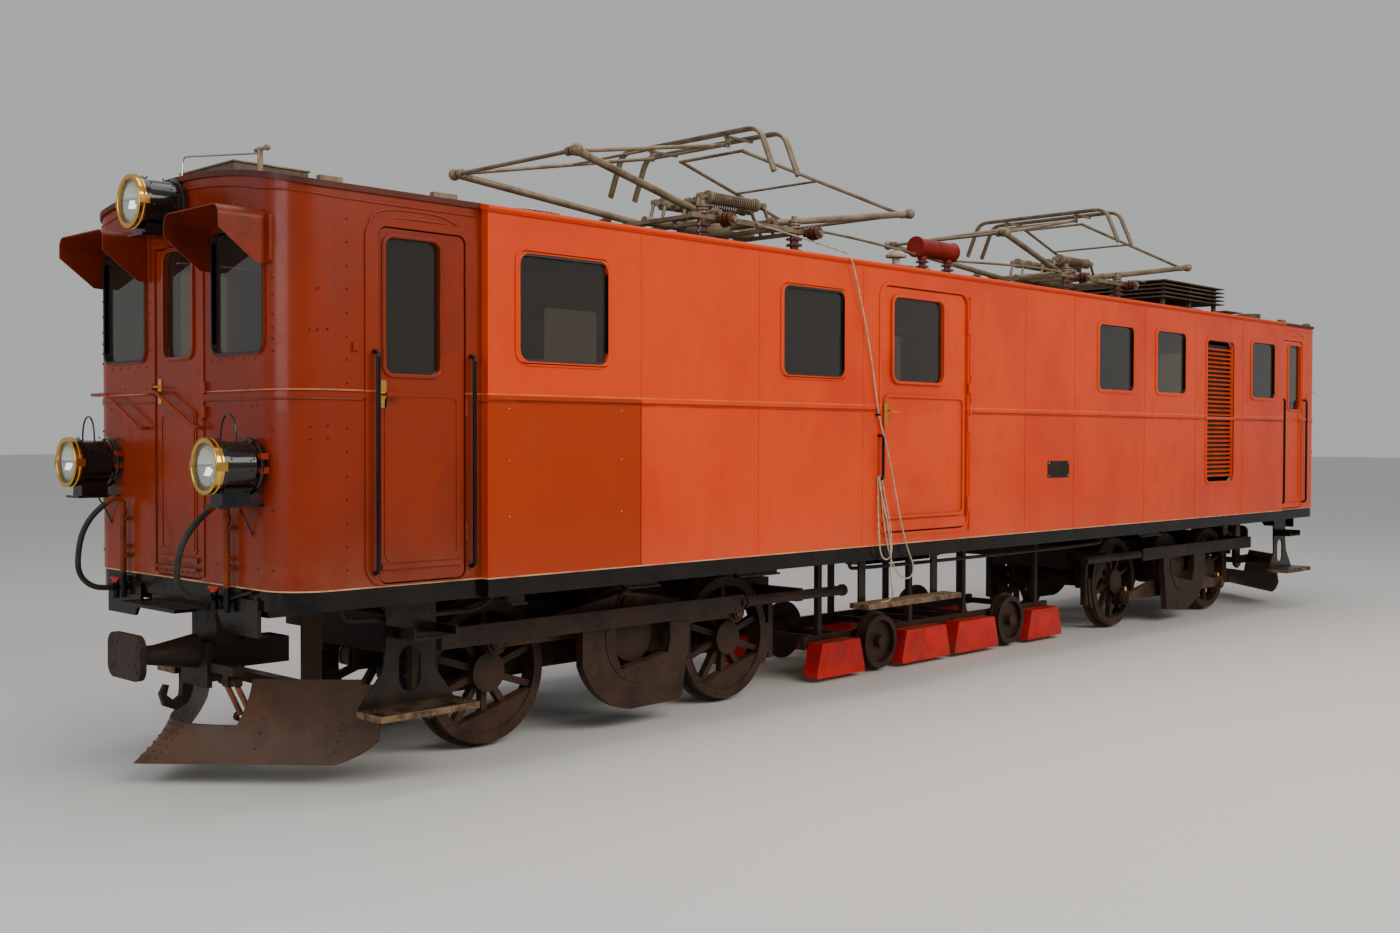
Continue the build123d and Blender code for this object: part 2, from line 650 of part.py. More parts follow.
def driven_wheelset(x, angle):
    axle = rod_y(0, -GAUGE_FACE - 60, GAUGE_FACE + 60, 0, 75)
    body = axle + wheel_disc(1) + wheel_disc(-1) + crank_web(-1, angle) + crank_web(1, angle + 90)
    return Pos(x, 0, AXLE_Z) * body


# A jackshaft's disc inside the rod, and its cheek outside
JACK_DISC = 290
JACK_CHEEK = 178


def jackshaft(x, angle):
    body = rod_y(0, -GAUGE_FACE - 60, GAUGE_FACE + 60, 0, 80)
    for side, turn in ((-1, angle), (1, angle + 90)):
        px = CRANK * math.cos(math.radians(turn))
        pz = CRANK * math.sin(math.radians(turn))
        web = rod_y(0, 500, 596, 0, JACK_DISC)
        web += rod_y(0, 500, 606, 0, 150)
        web += rod_y(px, 500, 608, pz, 80)
        web += rod_y(px, 590, ROD_OUT + 14, pz, PIN_R)
        web += rod_y(px, ROD_OUT + 4, ROD_OUT + 24, pz, PIN_R + 14)
        web += rod_y(0, ROD_OUT + 22, ROD_OUT + 46, 0, JACK_CHEEK)
        body += web if side > 0 else flip_y(web)
    return Pos(x, 0, JACK_Z) * body


def coupling_rod(x, side, angle):
    # Wedge rod: level lower edge between the wheel pins, raised in the middle to the jackshaft pin.
    rise = JACK_Z - AXLE_Z
    half = AXLE_SPREAD
    outline = [(-half, -34), (half, -34), (half, 34), (110, rise + 62), (-110, rise + 62), (-half, 34)]
    rod = prism_y(outline, ROD_IN + 6, ROD_OUT - 6)
    eyes = [(-half, 0, 72), (half, 0, 72), (0, rise, 84)]
    for ex, ez, radius in eyes:
        rod += rod_y(ex, ROD_IN, ROD_OUT, ez, radius)
    for ex, ez, _ in eyes:
        rod -= rod_y(ex, ROD_IN - 5, ROD_OUT + 5, ez, PIN_R + EYE_GAP)
    if side < 0:
        rod = flip_y(rod)
    px = CRANK * math.cos(math.radians(angle))
    pz = CRANK * math.sin(math.radians(angle))
    return Pos(x + px, 0, AXLE_Z + pz) * rod


# Guard plate outside each jackshaft: round below, with a slot that shows the jackshaft's cheek
GUARD_IN = 748
BEAM_IN = 800
BEAM_OUT = 840
BEAM_LOW = 670
BEAM_HIGH = 788


def jack_guard(y):
    arc = ThreePointArc((-495, 445), (-345, 240), (-77, 133))
    edge = Polyline((-77, 133), (377, 141), (452, 565), (460, 730), (-495, 730), (-495, 445))
    place = Plane(origin=(0, 0, 0), x_dir=(1, 0, 0), z_dir=(0, -1, 0))
    outline = place * make_face(Curve() + [arc, edge])
    plate = Pos(0, GUARD_IN, 0) * extrude(outline, GUARD_IN - BEAM_IN - 10)
    plate += rod_y(0, BEAM_IN, BEAM_IN + 16, JACK_Z, 305) & block(-400, 400, 700, 900, 100, BEAM_LOW + 10)
    slot = [(-222, 700), (-215, 500), (-172, 396), (246, 464), (266, 550), (262, 700)]
    plate -= prism_y(slot, GUARD_IN - 20, BEAM_OUT)
    return plate if y > 0 else flip_y(plate)


def bogie_frame(end):
    # Built for the bogie under the cab at low X, then mirrored for the other.
    frame = None
    for y in (-1, 1):
        plate = block(-1610, 1740, y * 345, y * 385, 400, 830)
        plate -= block(-1700, -1380, y * 300, y * 420, 380, 560)
        plate -= block(1400, 1800, y * 300, y * 420, 380, 600)
        for x in (-AXLE_SPREAD, AXLE_SPREAD):
            plate += block(x - 130, x + 130, y * 335, y * 400, 330, 600)
            plate -= rod_y(x, y * 300, y * 440, AXLE_Z, 77)
        plate += rod_y(0, y * 320, y * 440, JACK_Z, 130)
        plate -= rod_y(0, y * 300, y * 460, JACK_Z, 82)
        plate += jack_guard(y)
        plate += block(-1580, 960, y * BEAM_IN, y * BEAM_OUT, BEAM_LOW, BEAM_HIGH)
        plate += rod_x(940, 2100, y * 820, 736, 36)
        plate += block(-1580, -1520, y * 380, y * 805, BEAM_LOW, BEAM_HIGH)
        plate += block(1560, 1630, y * 380, y * 810, 690, 782)
        for way in (-1, 1):
            tread = way * AXLE_SPREAD
            shoe = rod_y(tread, y * 503, y * 570, AXLE_Z, DRIVE_RADIUS + 56)
            shoe -= rod_y(tread, y * 400, y * 700, AXLE_Z, DRIVE_RADIUS + 8)
            shoe &= block(tread + way * 380, tread + way * 600, y * 480, y * 580, 230, 520)
            plate += shoe
            plate += block(tread + way * 477, tread + way * 525, y * 505, y * 560, 260, 700)
        frame = plate if frame is None else frame + plate
    frame += block(-1610, -1540, -345, 345, 600, 830)
    frame += block(1660, 1740, -345, 345, 620, 830)
    centre = block(-240, 240, -345, 345, 700, 830)
    centre += rod_z(0, 0, 690, 890, 200)
    centre -= rod_z(0, 0, 600, 950, 95)
    frame += centre
    frame += block(-560, -250, -345, 345, 400, 800)
    frame += block(250, 560, -345, 345, 400, 800)
    frame -= rod_y(0, -345, 345, JACK_Z, 86)
    if end > 0:
        frame = flip_x(frame)
    return Pos(end * BOGIE_X, 0, 0) * frame


def small_wheelset(x):
    body = rod_y(0, -500, 500, 0, 38)
    for y in (-1, 1):
        wheel = rod_y(0, y * 468, y * 560, 0, SMALL_RADIUS)
        wheel += rod_y(0, y * 468, y * 492, 0, SMALL_RADIUS + FLANGE)
        wheel -= rod_y(0, y * 520, y * 600, 0, SMALL_RADIUS - 42)
        wheel += rod_y(0, y * 500, y * 575, 0, 52)
        body += wheel
    return Pos(x, 0, SMALL_Z) * body


def brake_carriage():
    frame = None
    for y in (-1, 1):
        rail = block(-1800, 1800, y * 395, y * 435, 250, 340)
        for x in (-SMALL_X, SMALL_X):
            rail += block(x - 70, x + 70, y * 390, y * 440, 190, 360)
            rail -= rod_y(x, y * 380, y * 450, SMALL_Z, 40)
        for x in (-1600, -400, 400, 1600):
            rail += block(x - 25, x + 25, y * 395, y * 435, 330, 950)
        frame = rail if frame is None else frame + rail
    for x in (-1600, -400, 400, 1600):
        frame += block(x - 20, x + 20, -400, 400, 280, 330)
        frame += block(x - 25, x + 25, -430, 430, 930, 950)
    frame += block(-20, 20, -400, 400, 280, 330)
    return frame


def track_shoes():
    shoes = None
    for x0, x1 in ((-1810, -1222), (-718, -40), (40, 718), (1222, 1810)):
        outline = [(x0, 36), (x1, 36), (x1, 80), (x1 - 60, 300), (x0 + 60, 300), (x0, 80)]
        for y in (-1, 1):
            shoe = prism_y(outline, y * 445, y * 585)
            shoe += block(x0 + 150, x1 - 150, y * 435, y * 450, 255, 295)
            shoes = shoe if shoes is None else shoes + shoe
    return shoes


# Pantographs
def rope_clamp():
    end, corner = Vector(*ROPE[0]), Vector(*ROPE[1])
    inner = end - (corner - end).normalized() * 40
    return bar((inner.X, inner.Y, inner.Z), ROPE[0], 9)


def pantograph_bases():
    bases = None
    for centre in (-PANTO_X, PANTO_X):
        base = None
        for y in (-500, 500):
            beam = block(centre - 620, centre + 620, y - 22, y + 22, 3402, 3440)
            base = beam if base is None else base + beam
        for x in (-SHAFT_X, SHAFT_X):
            base += block(centre + x - 25, centre + x + 25, -500, 500, 3402, 3428)
            for y in (-440, 440):
                lug = block(centre + x - 32, centre + x + 32, y - 14, y + 14, 3410, SHAFT_Z)
                lug += rod_y(centre + x, y - 14, y + 14, SHAFT_Z, 40)
                lug -= rod_y(centre + x, y - 30, y + 30, SHAFT_Z, 24.5)
                base += lug
        for x in (-580, 580):
            base += block(centre + x - 25, centre + x + 25, -500, 500, 3402, 3428)
        bases = base if bases is None else bases + base
    return bases + rope_clamp()


def lower_arm(centre, way):
    sx = centre + way * SHAFT_X
    kx = centre + way * KNUCKLE_X
    arm = rod_y(sx, -490, 490, SHAFT_Z, 24)
    for y in (-1, 1):
        arm += bar((sx, y * 330, SHAFT_Z), (kx, y * KNUCKLE_Y, KNUCKLE_Z), 26)
        arm += rod_y(kx, y * (KNUCKLE_Y - 22), y * (KNUCKLE_Y + 22), KNUCKLE_Z, 34)
    arm += rod_y(kx, -KNUCKLE_Y, KNUCKLE_Y, KNUCKLE_Z, 14)
    return arm


def upper_arm(centre, way):
    kx = centre + way * KNUCKLE_X
    hx = centre + way * HEAD_X
    lane = HEAD_Y if way < 0 else HEAD_Y - 45
    arm = None
    for y in (-1, 1):
        eye_y = y * EYE_Y
        tube = bar((kx, eye_y, KNUCKLE_Z), (hx, y * lane, HEAD_Z), 14)
        tube += rod_y(kx, eye_y - 16, eye_y + 16, KNUCKLE_Z, 30)
        tube -= rod_y(kx, eye_y - 40, eye_y + 40, KNUCKLE_Z, 14.5)
        arm = tube if arm is None else arm + tube
    along = 0.55
    bx = kx + (hx - kx) * along
    bz = KNUCKLE_Z + (HEAD_Z - KNUCKLE_Z) * along
    by = EYE_Y + (lane - EYE_Y) * along
    arm += rod_y(bx, -by, by, bz, 10)
    arm += rod_y(hx, -lane - 15, lane + 15, HEAD_Z, 12)
    return arm


def bow(centre):
    hx = centre - HEAD_X
    head = None
    for y in (-1, 1):
        ear_y = y * (HEAD_Y + 30)
        ear = block(hx - 20, hx + 20, ear_y - 7, ear_y + 7, HEAD_Z - 20, HEAD_Z + 60)
        ear += block(hx - 30, hx + 270, ear_y - 12, ear_y + 12, HEAD_Z + 48, HEAD_Z + 64)
        ear -= rod_y(hx, ear_y - 20, ear_y + 20, HEAD_Z, 12.5)
        head = ear if head is None else head + ear
    for x in (-10, 250):
        path = [(hx + x, -840, 3740), (hx + x, -700, HEAD_Z + 78), (hx + x, 700, HEAD_Z + 78),
                (hx + x, 840, 3740)]
        head += bent_bar(path, 120, 16)
    return head


def insulator(x, y, low, high, radius):
    body = rod_z(x, y, low, high, radius * 0.55)
    step = (high - low) / 4
    for index in range(3):
        z = low + step * (index + 1)
        body += rod_z(x, y, z - 7, z + 7, radius)
    return body


def roof_insulators():
    pots = []
    for centre in (-PANTO_X, PANTO_X):
        for x in (-500, 500):
            for y in (-500, 500):
                pots.append(insulator(centre + x, y, arch_z(y) - 30, 3402, 62) - ROOF_BULK)
    for x, y in ((-250, -430), (120, -430)):
        pots.append(insulator(x, y, arch_z(y) - 30, 3392, 55) - ROOF_BULK)
    return pots


def roof_tank():
    tank = rod_x(-330, 200, -430, 3470, 78)
    tank += rod_x(-350, -330, -430, 3470, 88)
    tank += rod_x(200, 230, -430, 3470, 55)
    return tank


def resistor_box():
    box = block(3880, 5060, -500, 500, 3352, 3508)
    for index in range(5):
        z = 3340 + 42 * index
        box += block(3760, 5180, -640, 640, z, z + 12)
    for x in (3860, 4470, 5080):
        for y in (-560, 560):
            box += block(x - 20, x + 20, y - 20, y + 20, 3200, 3520) - ROOF_BULK
    return box


def roof_covers():
    parts = block(-6430, -5980, -300, 300, 3200, 3350)
    parts += Pos(5620, -720, arch_z(720)) * Cylinder(130, 70)
    parts += Pos(-5620, 720, arch_z(720)) * Cylinder(130, 70)
    return parts - ROOF_BULK


def angle_of(end):
    return 90 if end < 0 else -60


PARTS = {
    "underframe": underframe(),
    "side_wall_near": side_wall(),
    "side_wall_far": turned(side_wall()),
    "cab_shell_front": cab_shell(),
    "cab_shell_rear": turned(cab_shell()),
    "roof": roof(),
    "machine_room": partitions() + machinery(),
    "floor": floor(),
    "skirts": Compound(skirts()),
    "window_glass": Compound(glass()),
    "louvre_grilles": louvres(),
    "sun_visors": sun_visors(),
    "headlights": lamp_drums(),
    "headlight_rims": lamp_rims(),
    "headlight_glass": lamp_glass(),
    "handrails": handrails(),
    "footsteps": footsteps(),
    "ploughs": plough(),
    "draw_gear": draw_gear(),
    "air_pipes": air_pipes(),
    "brake_carriage": brake_carriage(),
    "track_shoes": track_shoes(),
    "pantograph_bases": pantograph_bases(),
    "roof_insulators": Compound(roof_insulators()),
    "roof_tank": roof_tank(),
    "roof_boxes": resistor_box() + roof_covers(),
    "brake_hoses": Compound(brake_hoses()),
    "pull_rope": pull_rope(),
    "cab_door_front_near": cab_door(),
    "cab_door_front_far": flip_y(cab_door()),
    "cab_door_rear_near": flip_x(cab_door()),
    "cab_door_rear_far": turned(cab_door()),
    "side_door_near": mid_door(),
    "side_door_far": turned(mid_door()),
    "gangway_door_front": front_door(),
    "gangway_door_rear": turned(front_door()),
}
for end, name in ((-1, "front"), (1, "rear")):
    angle = angle_of(end)
    middle = end * BOGIE_X
    PARTS["bogie_" + name] = bogie_frame(end)
    PARTS["wheelset_outer_" + name] = driven_wheelset(middle + end * AXLE_SPREAD, angle)
    PARTS["wheelset_inner_" + name] = driven_wheelset(middle - end * AXLE_SPREAD, angle)
    PARTS["jackshaft_" + name] = jackshaft(middle, angle)
    PARTS["coupling_rod_near_" + name] = coupling_rod(middle, -1, angle)
    PARTS["coupling_rod_far_" + name] = coupling_rod(middle, 1, angle + 90)
    PARTS["small_wheelset_" + name] = small_wheelset(end * SMALL_X)
    centre = end * PANTO_X
    PARTS["lower_arm_outer_" + name] = lower_arm(centre, -1)
    PARTS["lower_arm_inner_" + name] = lower_arm(centre, 1)
    PARTS["upper_arm_outer_" + name] = upper_arm(centre, -1)
    PARTS["upper_arm_inner_" + name] = upper_arm(centre, 1)
    PARTS["contact_bow_" + name] = bow(centre)

for name, shape in PARTS.items():
    export_step(shape, "parts/" + name + ".step")
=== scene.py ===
from math import atan2, cos, pi, radians, sin, sqrt, tan

import bmesh
import bpy
from mathutils import Matrix, Vector


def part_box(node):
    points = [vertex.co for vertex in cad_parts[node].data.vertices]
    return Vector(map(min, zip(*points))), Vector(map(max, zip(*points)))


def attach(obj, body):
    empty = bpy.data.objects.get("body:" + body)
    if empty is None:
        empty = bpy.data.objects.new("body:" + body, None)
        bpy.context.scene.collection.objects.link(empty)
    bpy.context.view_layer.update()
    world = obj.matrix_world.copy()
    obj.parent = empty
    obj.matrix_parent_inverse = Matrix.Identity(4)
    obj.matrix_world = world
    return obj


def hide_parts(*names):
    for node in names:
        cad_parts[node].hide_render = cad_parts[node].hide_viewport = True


bl_info = {
    "name": "Rod-driven electric locomotive",
    "version": (1, 0, 0),
    "blender": (4, 5, 0),
    "location": "3D View > Sidebar > Locomotive",
    "description": "Paint, glass, cords and fittings for the packed locomotive",
    "category": "Object",
}

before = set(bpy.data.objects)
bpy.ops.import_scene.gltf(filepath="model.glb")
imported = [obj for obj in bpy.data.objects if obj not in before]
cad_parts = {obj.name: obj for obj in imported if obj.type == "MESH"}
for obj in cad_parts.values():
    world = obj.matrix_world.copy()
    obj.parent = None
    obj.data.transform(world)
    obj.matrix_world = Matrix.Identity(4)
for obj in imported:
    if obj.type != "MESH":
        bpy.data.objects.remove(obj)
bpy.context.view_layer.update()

# Driving sizes in metres, in the frame of the solids: X along, Y across, Z up.
# The boxes of these two doors reach past their walls by the PROUD sizes.
GANGWAY_PROUD = 0.014
CAB_DOOR_PROUD = 0.062
END = -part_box("gangway_door_front")[0].x - GANGWAY_PROUD
CAB_Y = -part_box("cab_door_front_near")[0].y - CAB_DOOR_PROUD
MAIN_Y = 1.2
CAB_START = 5.42
CORNER = 0.25
BODY_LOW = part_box("side_wall_near")[0].z
GUTTER = 3.138
CROWN = 3.278
BODY = "locomotive"
# Radius of rivets and bolts that the settings leave alone
FINE, BOLT, BIG_BOLT = 0.006, 0.008, 0.012
# How flat a head is, and how large the heads on long walls and roof are against the cabs'
FLATTENED = 0.55
SMALL_SHARE = 0.8
# Directions, and none for what stays round
ALONG, ACROSS, UP, ROUND = (1, 0, 0), (0, 1, 0), (0, 0, 1), (0, 0, 0)
SIDES = (-1, 1)


# Mesh helpers. Each adds one shape to a bmesh.
def new_meshes(count):
    return [bmesh.new() for _ in range(count)]


def add_box(mesh, first, second):
    low = Vector([min(pair) for pair in zip(first, second)])
    high = Vector([max(pair) for pair in zip(first, second)])
    place = Matrix.Translation((low + high) / 2) @ Matrix.Diagonal((*(high - low), 1))
    bmesh.ops.create_cube(mesh, size=1, matrix=place)


def add_rod(mesh, start, end, radius, tip=None, sides=16):
    start, end = Vector(start), Vector(end)
    turn = (end - start).to_track_quat("Z", "Y").to_matrix().to_4x4()
    bmesh.ops.create_cone(
        mesh, cap_ends=True, segments=sides, radius1=radius, radius2=tip or radius,
        depth=(end - start).length, matrix=Matrix.Translation((start + end) / 2) @ turn)


def add_ball(mesh, centre, radius):
    bmesh.ops.create_uvsphere(
        mesh, u_segments=12, v_segments=8, radius=radius, matrix=Matrix.Translation(centre))


def add_rivets(mesh, centres, radius, outward):
    squash = [FLATTENED if part else 1 for part in outward]
    for centre in centres:
        place = Matrix.Translation(centre) @ Matrix.Diagonal((*squash, 1))
        bmesh.ops.create_icosphere(mesh, subdivisions=1, radius=radius, matrix=place)


def add_plate(mesh, outline, push):
    face = mesh.faces.new([mesh.verts.new(corner) for corner in outline])
    made = bmesh.ops.extrude_face_region(mesh, geom=[face])["geom"]
    moved = [item for item in made if isinstance(item, bmesh.types.BMVert)]
    bmesh.ops.translate(mesh, verts=moved, vec=push)


def spin_line(mesh, points, centre, axis, steps, closed):
    line = [mesh.verts.new(point) for point in points]
    pairs = list(zip(line, line[1:] + line[:1] if closed else line[1:]))
    edges = [mesh.edges.new(pair) for pair in pairs]
    bmesh.ops.spin(
        mesh, geom=line + edges, cent=centre, axis=axis, angle=2 * pi, steps=steps,
        use_merge=True, use_duplicate=False)


def add_lathe(mesh, profile, origin, axis, steps):
    spin_line(mesh, [Vector(origin) + Vector(point) for point in profile], origin, axis, steps, False)


def add_ring(mesh, centre, axis, radius, thick, steps=32, sides=8):
    axis = Vector(axis).normalized()
    side = axis.orthogonal().normalized()
    centre = Vector(centre)
    turns = [2 * pi * index / sides for index in range(sides)]
    points = [
        centre + side * (radius + thick * cos(turn)) + axis * thick * sin(turn)
        for turn in turns]
    spin_line(mesh, points, centre, axis, steps, True)


def new_object(name, data):
    made = bpy.data.objects.new(name, data)
    bpy.context.scene.collection.objects.link(made)
    return made


def new_piece(name, data, material, body):
    piece = new_object(name, data)
    data.materials.append(MATERIALS[material])
    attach(piece, body)
    return piece


def finish_piece(name, mesh, material, body=BODY, sharp=40, bevel=0):
    bmesh.ops.remove_doubles(mesh, verts=mesh.verts, dist=0.00001)
    bmesh.ops.recalc_face_normals(mesh, faces=mesh.faces)
    data = bpy.data.meshes.new(name)
    mesh.to_mesh(data)
    mesh.free()
    data.shade_smooth()
    data.set_sharp_from_angle(angle=radians(sharp))
    piece = new_piece(name, data, material, body)
    if bevel:
        soften = piece.modifiers.new("edges", "BEVEL")
        soften.width = bevel
        soften.segments = 2
        soften.limit_method = "ANGLE"


def add_twin(mesh):
    # The same shapes once more, turned to the other end and the other side
    geometry = mesh.verts[:] + mesh.edges[:] + mesh.faces[:]
    made = bmesh.ops.duplicate(mesh, geom=geometry)["geom"]
    verts = [item for item in made if isinstance(item, bmesh.types.BMVert)]
    bmesh.ops.rotate(mesh, verts=verts, cent=(0, 0, 0), matrix=Matrix.Rotation(pi, 3, "Z"))


def finish_twin(name, mesh, material, **settings):
    add_twin(mesh)
    finish_piece(name, mesh, material, **settings)


def finish_pipes(name, runs, radius, material):
    data = bpy.data.curves.new(name, "CURVE")
    data.dimensions = "3D"
    data.bevel_depth = 1
    data.bevel_resolution = 2
    data.resolution_u = 6
    data.use_fill_caps = True
    for points in runs:
        spline = data.splines.new("NURBS")
        spline.points.add(len(points) - 1)
        for knot, point in zip(spline.points, points):
            knot.co = (*point, 1)
            knot.radius = radius
        spline.order_u = 3
        spline.use_endpoint_u = True
    return new_piece(name, data, material, BODY)


def turned(points):
    return [(-x, -y, z) for x, y, z in points]


def with_twins(runs):
    return runs + [turned(points) for points in runs]


def other_side(points):
    return [(x, -y, z) for x, y, z in points]


def row(start, stop, count):
    return [start + (stop - start) * index / (count - 1) for index in range(count)]


# Shader helpers
def paint(colour):
    parts = [value / 255 for value in colour]
    return (*[part / 12.92 if part <= 0.04045 else ((part + 0.055) / 1.055) ** 2.4 for part in parts], 1)


def fill(tree, node, inputs):
    for key, value in inputs.items():
        if isinstance(value, bpy.types.NodeSocket):
            tree.links.new(value, node.inputs[key])
        else:
            node.inputs[key].default_value = value
    return node.outputs


def put(tree, kind, inputs, **settings):
    node = tree.nodes.new(kind)
    for key, value in settings.items():
        setattr(node, key, value)
    return fill(tree, node, inputs)


def blend_colour(tree, factor, first, second):
    return put(tree, "ShaderNodeMix", {0: factor, 6: first, 7: second}, data_type="RGBA")[2]


def sums(tree, operation, first, second=0.0, clamp=False):
    return put(tree, "ShaderNodeMath", {0: first, 1: second}, operation=operation, use_clamp=clamp)[0]


def between(tree, value, low, high, start=0.0, stop=1.0):
    inputs = {"Value": value, "From Min": low, "From Max": high, "To Min": start, "To Max": stop}
    return put(tree, "ShaderNodeMapRange", inputs, interpolation_type="SMOOTHSTEP")[0]


def band(tree, value, low, high):
    above = sums(tree, "GREATER_THAN", value, low)
    return sums(tree, "MULTIPLY", above, sums(tree, "LESS_THAN", value, high))


def object_place(tree):
    return put(tree, "ShaderNodeTexCoord", {})["Object"]


def split(tree, vector):
    return put(tree, "ShaderNodeSeparateXYZ", {0: vector})


def noise_of(tree, vector, scale, detail, **inputs):
    return put(tree, "ShaderNodeTexNoise", {"Vector": vector, "Scale": scale, "Detail": detail, **inputs})[0]


def new_group(name, inputs):
    group = bpy.data.node_groups.new(name, "ShaderNodeTree")
    for label, value in inputs:
        made = group.interface.new_socket(name=label, in_out="INPUT", socket_type="NodeSocketFloat")
        made.default_value = value
    group.interface.new_socket(name="Mask", in_out="OUTPUT", socket_type="NodeSocketFloat")
    start = group.nodes.new("NodeGroupInput")
    end = group.nodes.new("NodeGroupOutput")
    return group, start.outputs, end.inputs


def make_patches():
    # Soft patches: a mask between Low and High of a noise, drawn out along Z by Stretch
    group, given, out = new_group(
        "Patches", [("Scale", 2.0), ("Stretch", 1.0), ("Low", 0.4), ("High", 0.6), ("Seed", 0.0)])
    down = sums(group, "DIVIDE", 1.0, given["Stretch"])
    size = put(group, "ShaderNodeCombineXYZ", {0: 1.0, 1: 1.0, 2: down})[0]
    shape = put(group, "ShaderNodeVectorMath", {0: object_place(group), 1: size}, operation="MULTIPLY")[0]
    shape = put(group, "ShaderNodeVectorMath", {0: shape, 1: given["Seed"]}, operation="ADD")[0]
    noise = noise_of(group, shape, given["Scale"], 5.0, Roughness=0.6)
    group.links.new(between(group, noise, given["Low"], given["High"]), out["Mask"])
    return group


def make_settling():
    # Where dust settles: on faces that look up, and below a height, both broken up by a noise
    group, given, out = new_group(
        "Settling", [("Top", 0.5), ("Low Z", 1.0), ("High Z", 2.0), ("Below", 0.5)])
    up = split(group, put(group, "ShaderNodeNewGeometry", {})["Normal"])[2]
    place = object_place(group)
    height = split(group, place)[2]
    rough = between(group, noise_of(group, place, 7.0, 6.0), 0.25, 0.7)
    top = sums(group, "MULTIPLY", between(group, up, 0.25, 0.95), given["Top"])
    low = sums(group, "MULTIPLY", between(group, height, given["High Z"], given["Low Z"]), given["Below"])
    both = sums(group, "MULTIPLY", sums(group, "ADD", top, low), rough, clamp=True)
    group.links.new(both, out["Mask"])
    return group


GROUPS = {}
MATERIALS = {}


def use_group(tree, name, inputs):
    node = tree.nodes.new("ShaderNodeGroup")
    node.node_tree = GROUPS[name]
    return fill(tree, node, inputs)[0]


def new_material(name, colour, rough, inputs=None):
    material = bpy.data.materials.new(name)
    material.use_nodes = True
    shader = material.node_tree.nodes["Principled BSDF"]
    fill(material.node_tree, shader, {"Base Color": colour, "Roughness": rough, **(inputs or {})})
    MATERIALS[name] = material
    return material.node_tree, shader


# What most aged materials share: shine, grime, grain, the finer patches in colour and roughness, bumps
AGED_SHINE = 0.22
GRIME = (0.5, 0.4, 1.2, 0.5)
GRAIN = (60.0, 0.0008)
FINE_COLOUR, FINE_ROUGH = 0.5, 0.6
BUMP_STRENGTH = 0.6


def aged(name, colour, shade, dust, rough, dull, scale, grime=GRIME, grain=GRAIN, inputs=None, stretch=1.0):
    # Paint or metal with a second shade in patches, and dust from the Settling group
    colour, shade = paint(colour), paint(shade)
    tree, shader = new_material(name, colour, rough, {"Specular IOR Level": AGED_SHINE, **(inputs or {})})
    mottled = use_group(tree, "Patches", {"Scale": scale, "Stretch": stretch, "Low": 0.38, "High": 0.68})
    fine = use_group(
        tree, "Patches", {"Scale": scale * 7, "Stretch": stretch, "Low": 0.45, "High": 0.75, "Seed": 3.0})
    top, low, high, below = grime
    settled = use_group(tree, "Settling", {"Top": top, "Low Z": low, "High Z": high, "Below": below})
    base = blend_colour(tree, mottled, colour, shade)
    base = blend_colour(tree, sums(tree, "MULTIPLY", fine, FINE_COLOUR), base, shade)
    base = blend_colour(tree, settled, base, paint(dust))
    worn = sums(tree, "MAXIMUM", settled, sums(tree, "MULTIPLY", fine, FINE_ROUGH))
    size, depth = grain
    noise = noise_of(tree, object_place(tree), size, 4.0)
    bump = put(tree, "ShaderNodeBump", {"Height": noise, "Distance": depth, "Strength": BUMP_STRENGTH})[0]
    dulled = between(tree, worn, 0.0, 1.0, rough, dull)
    fill(tree, shader, {"Base Color": base, "Roughness": dulled, "Normal": bump})


# Camera, where the photograph was taken
CAMERA_PLACE = (-10.31493, -7.50235, 1.86592)
CAMERA_TURN = (88.884, -0.116, -46.19)
CAMERA_LENS = 37.11


def make_camera():
    data = bpy.data.cameras.new("camera")
    data.lens = CAMERA_LENS
    data.sensor_width = 36
    data.clip_end = 400
    camera = new_object("camera", data)
    camera.location = CAMERA_PLACE
    camera.rotation_euler = [radians(angle) for angle in CAMERA_TURN]
    bpy.context.scene.camera = camera


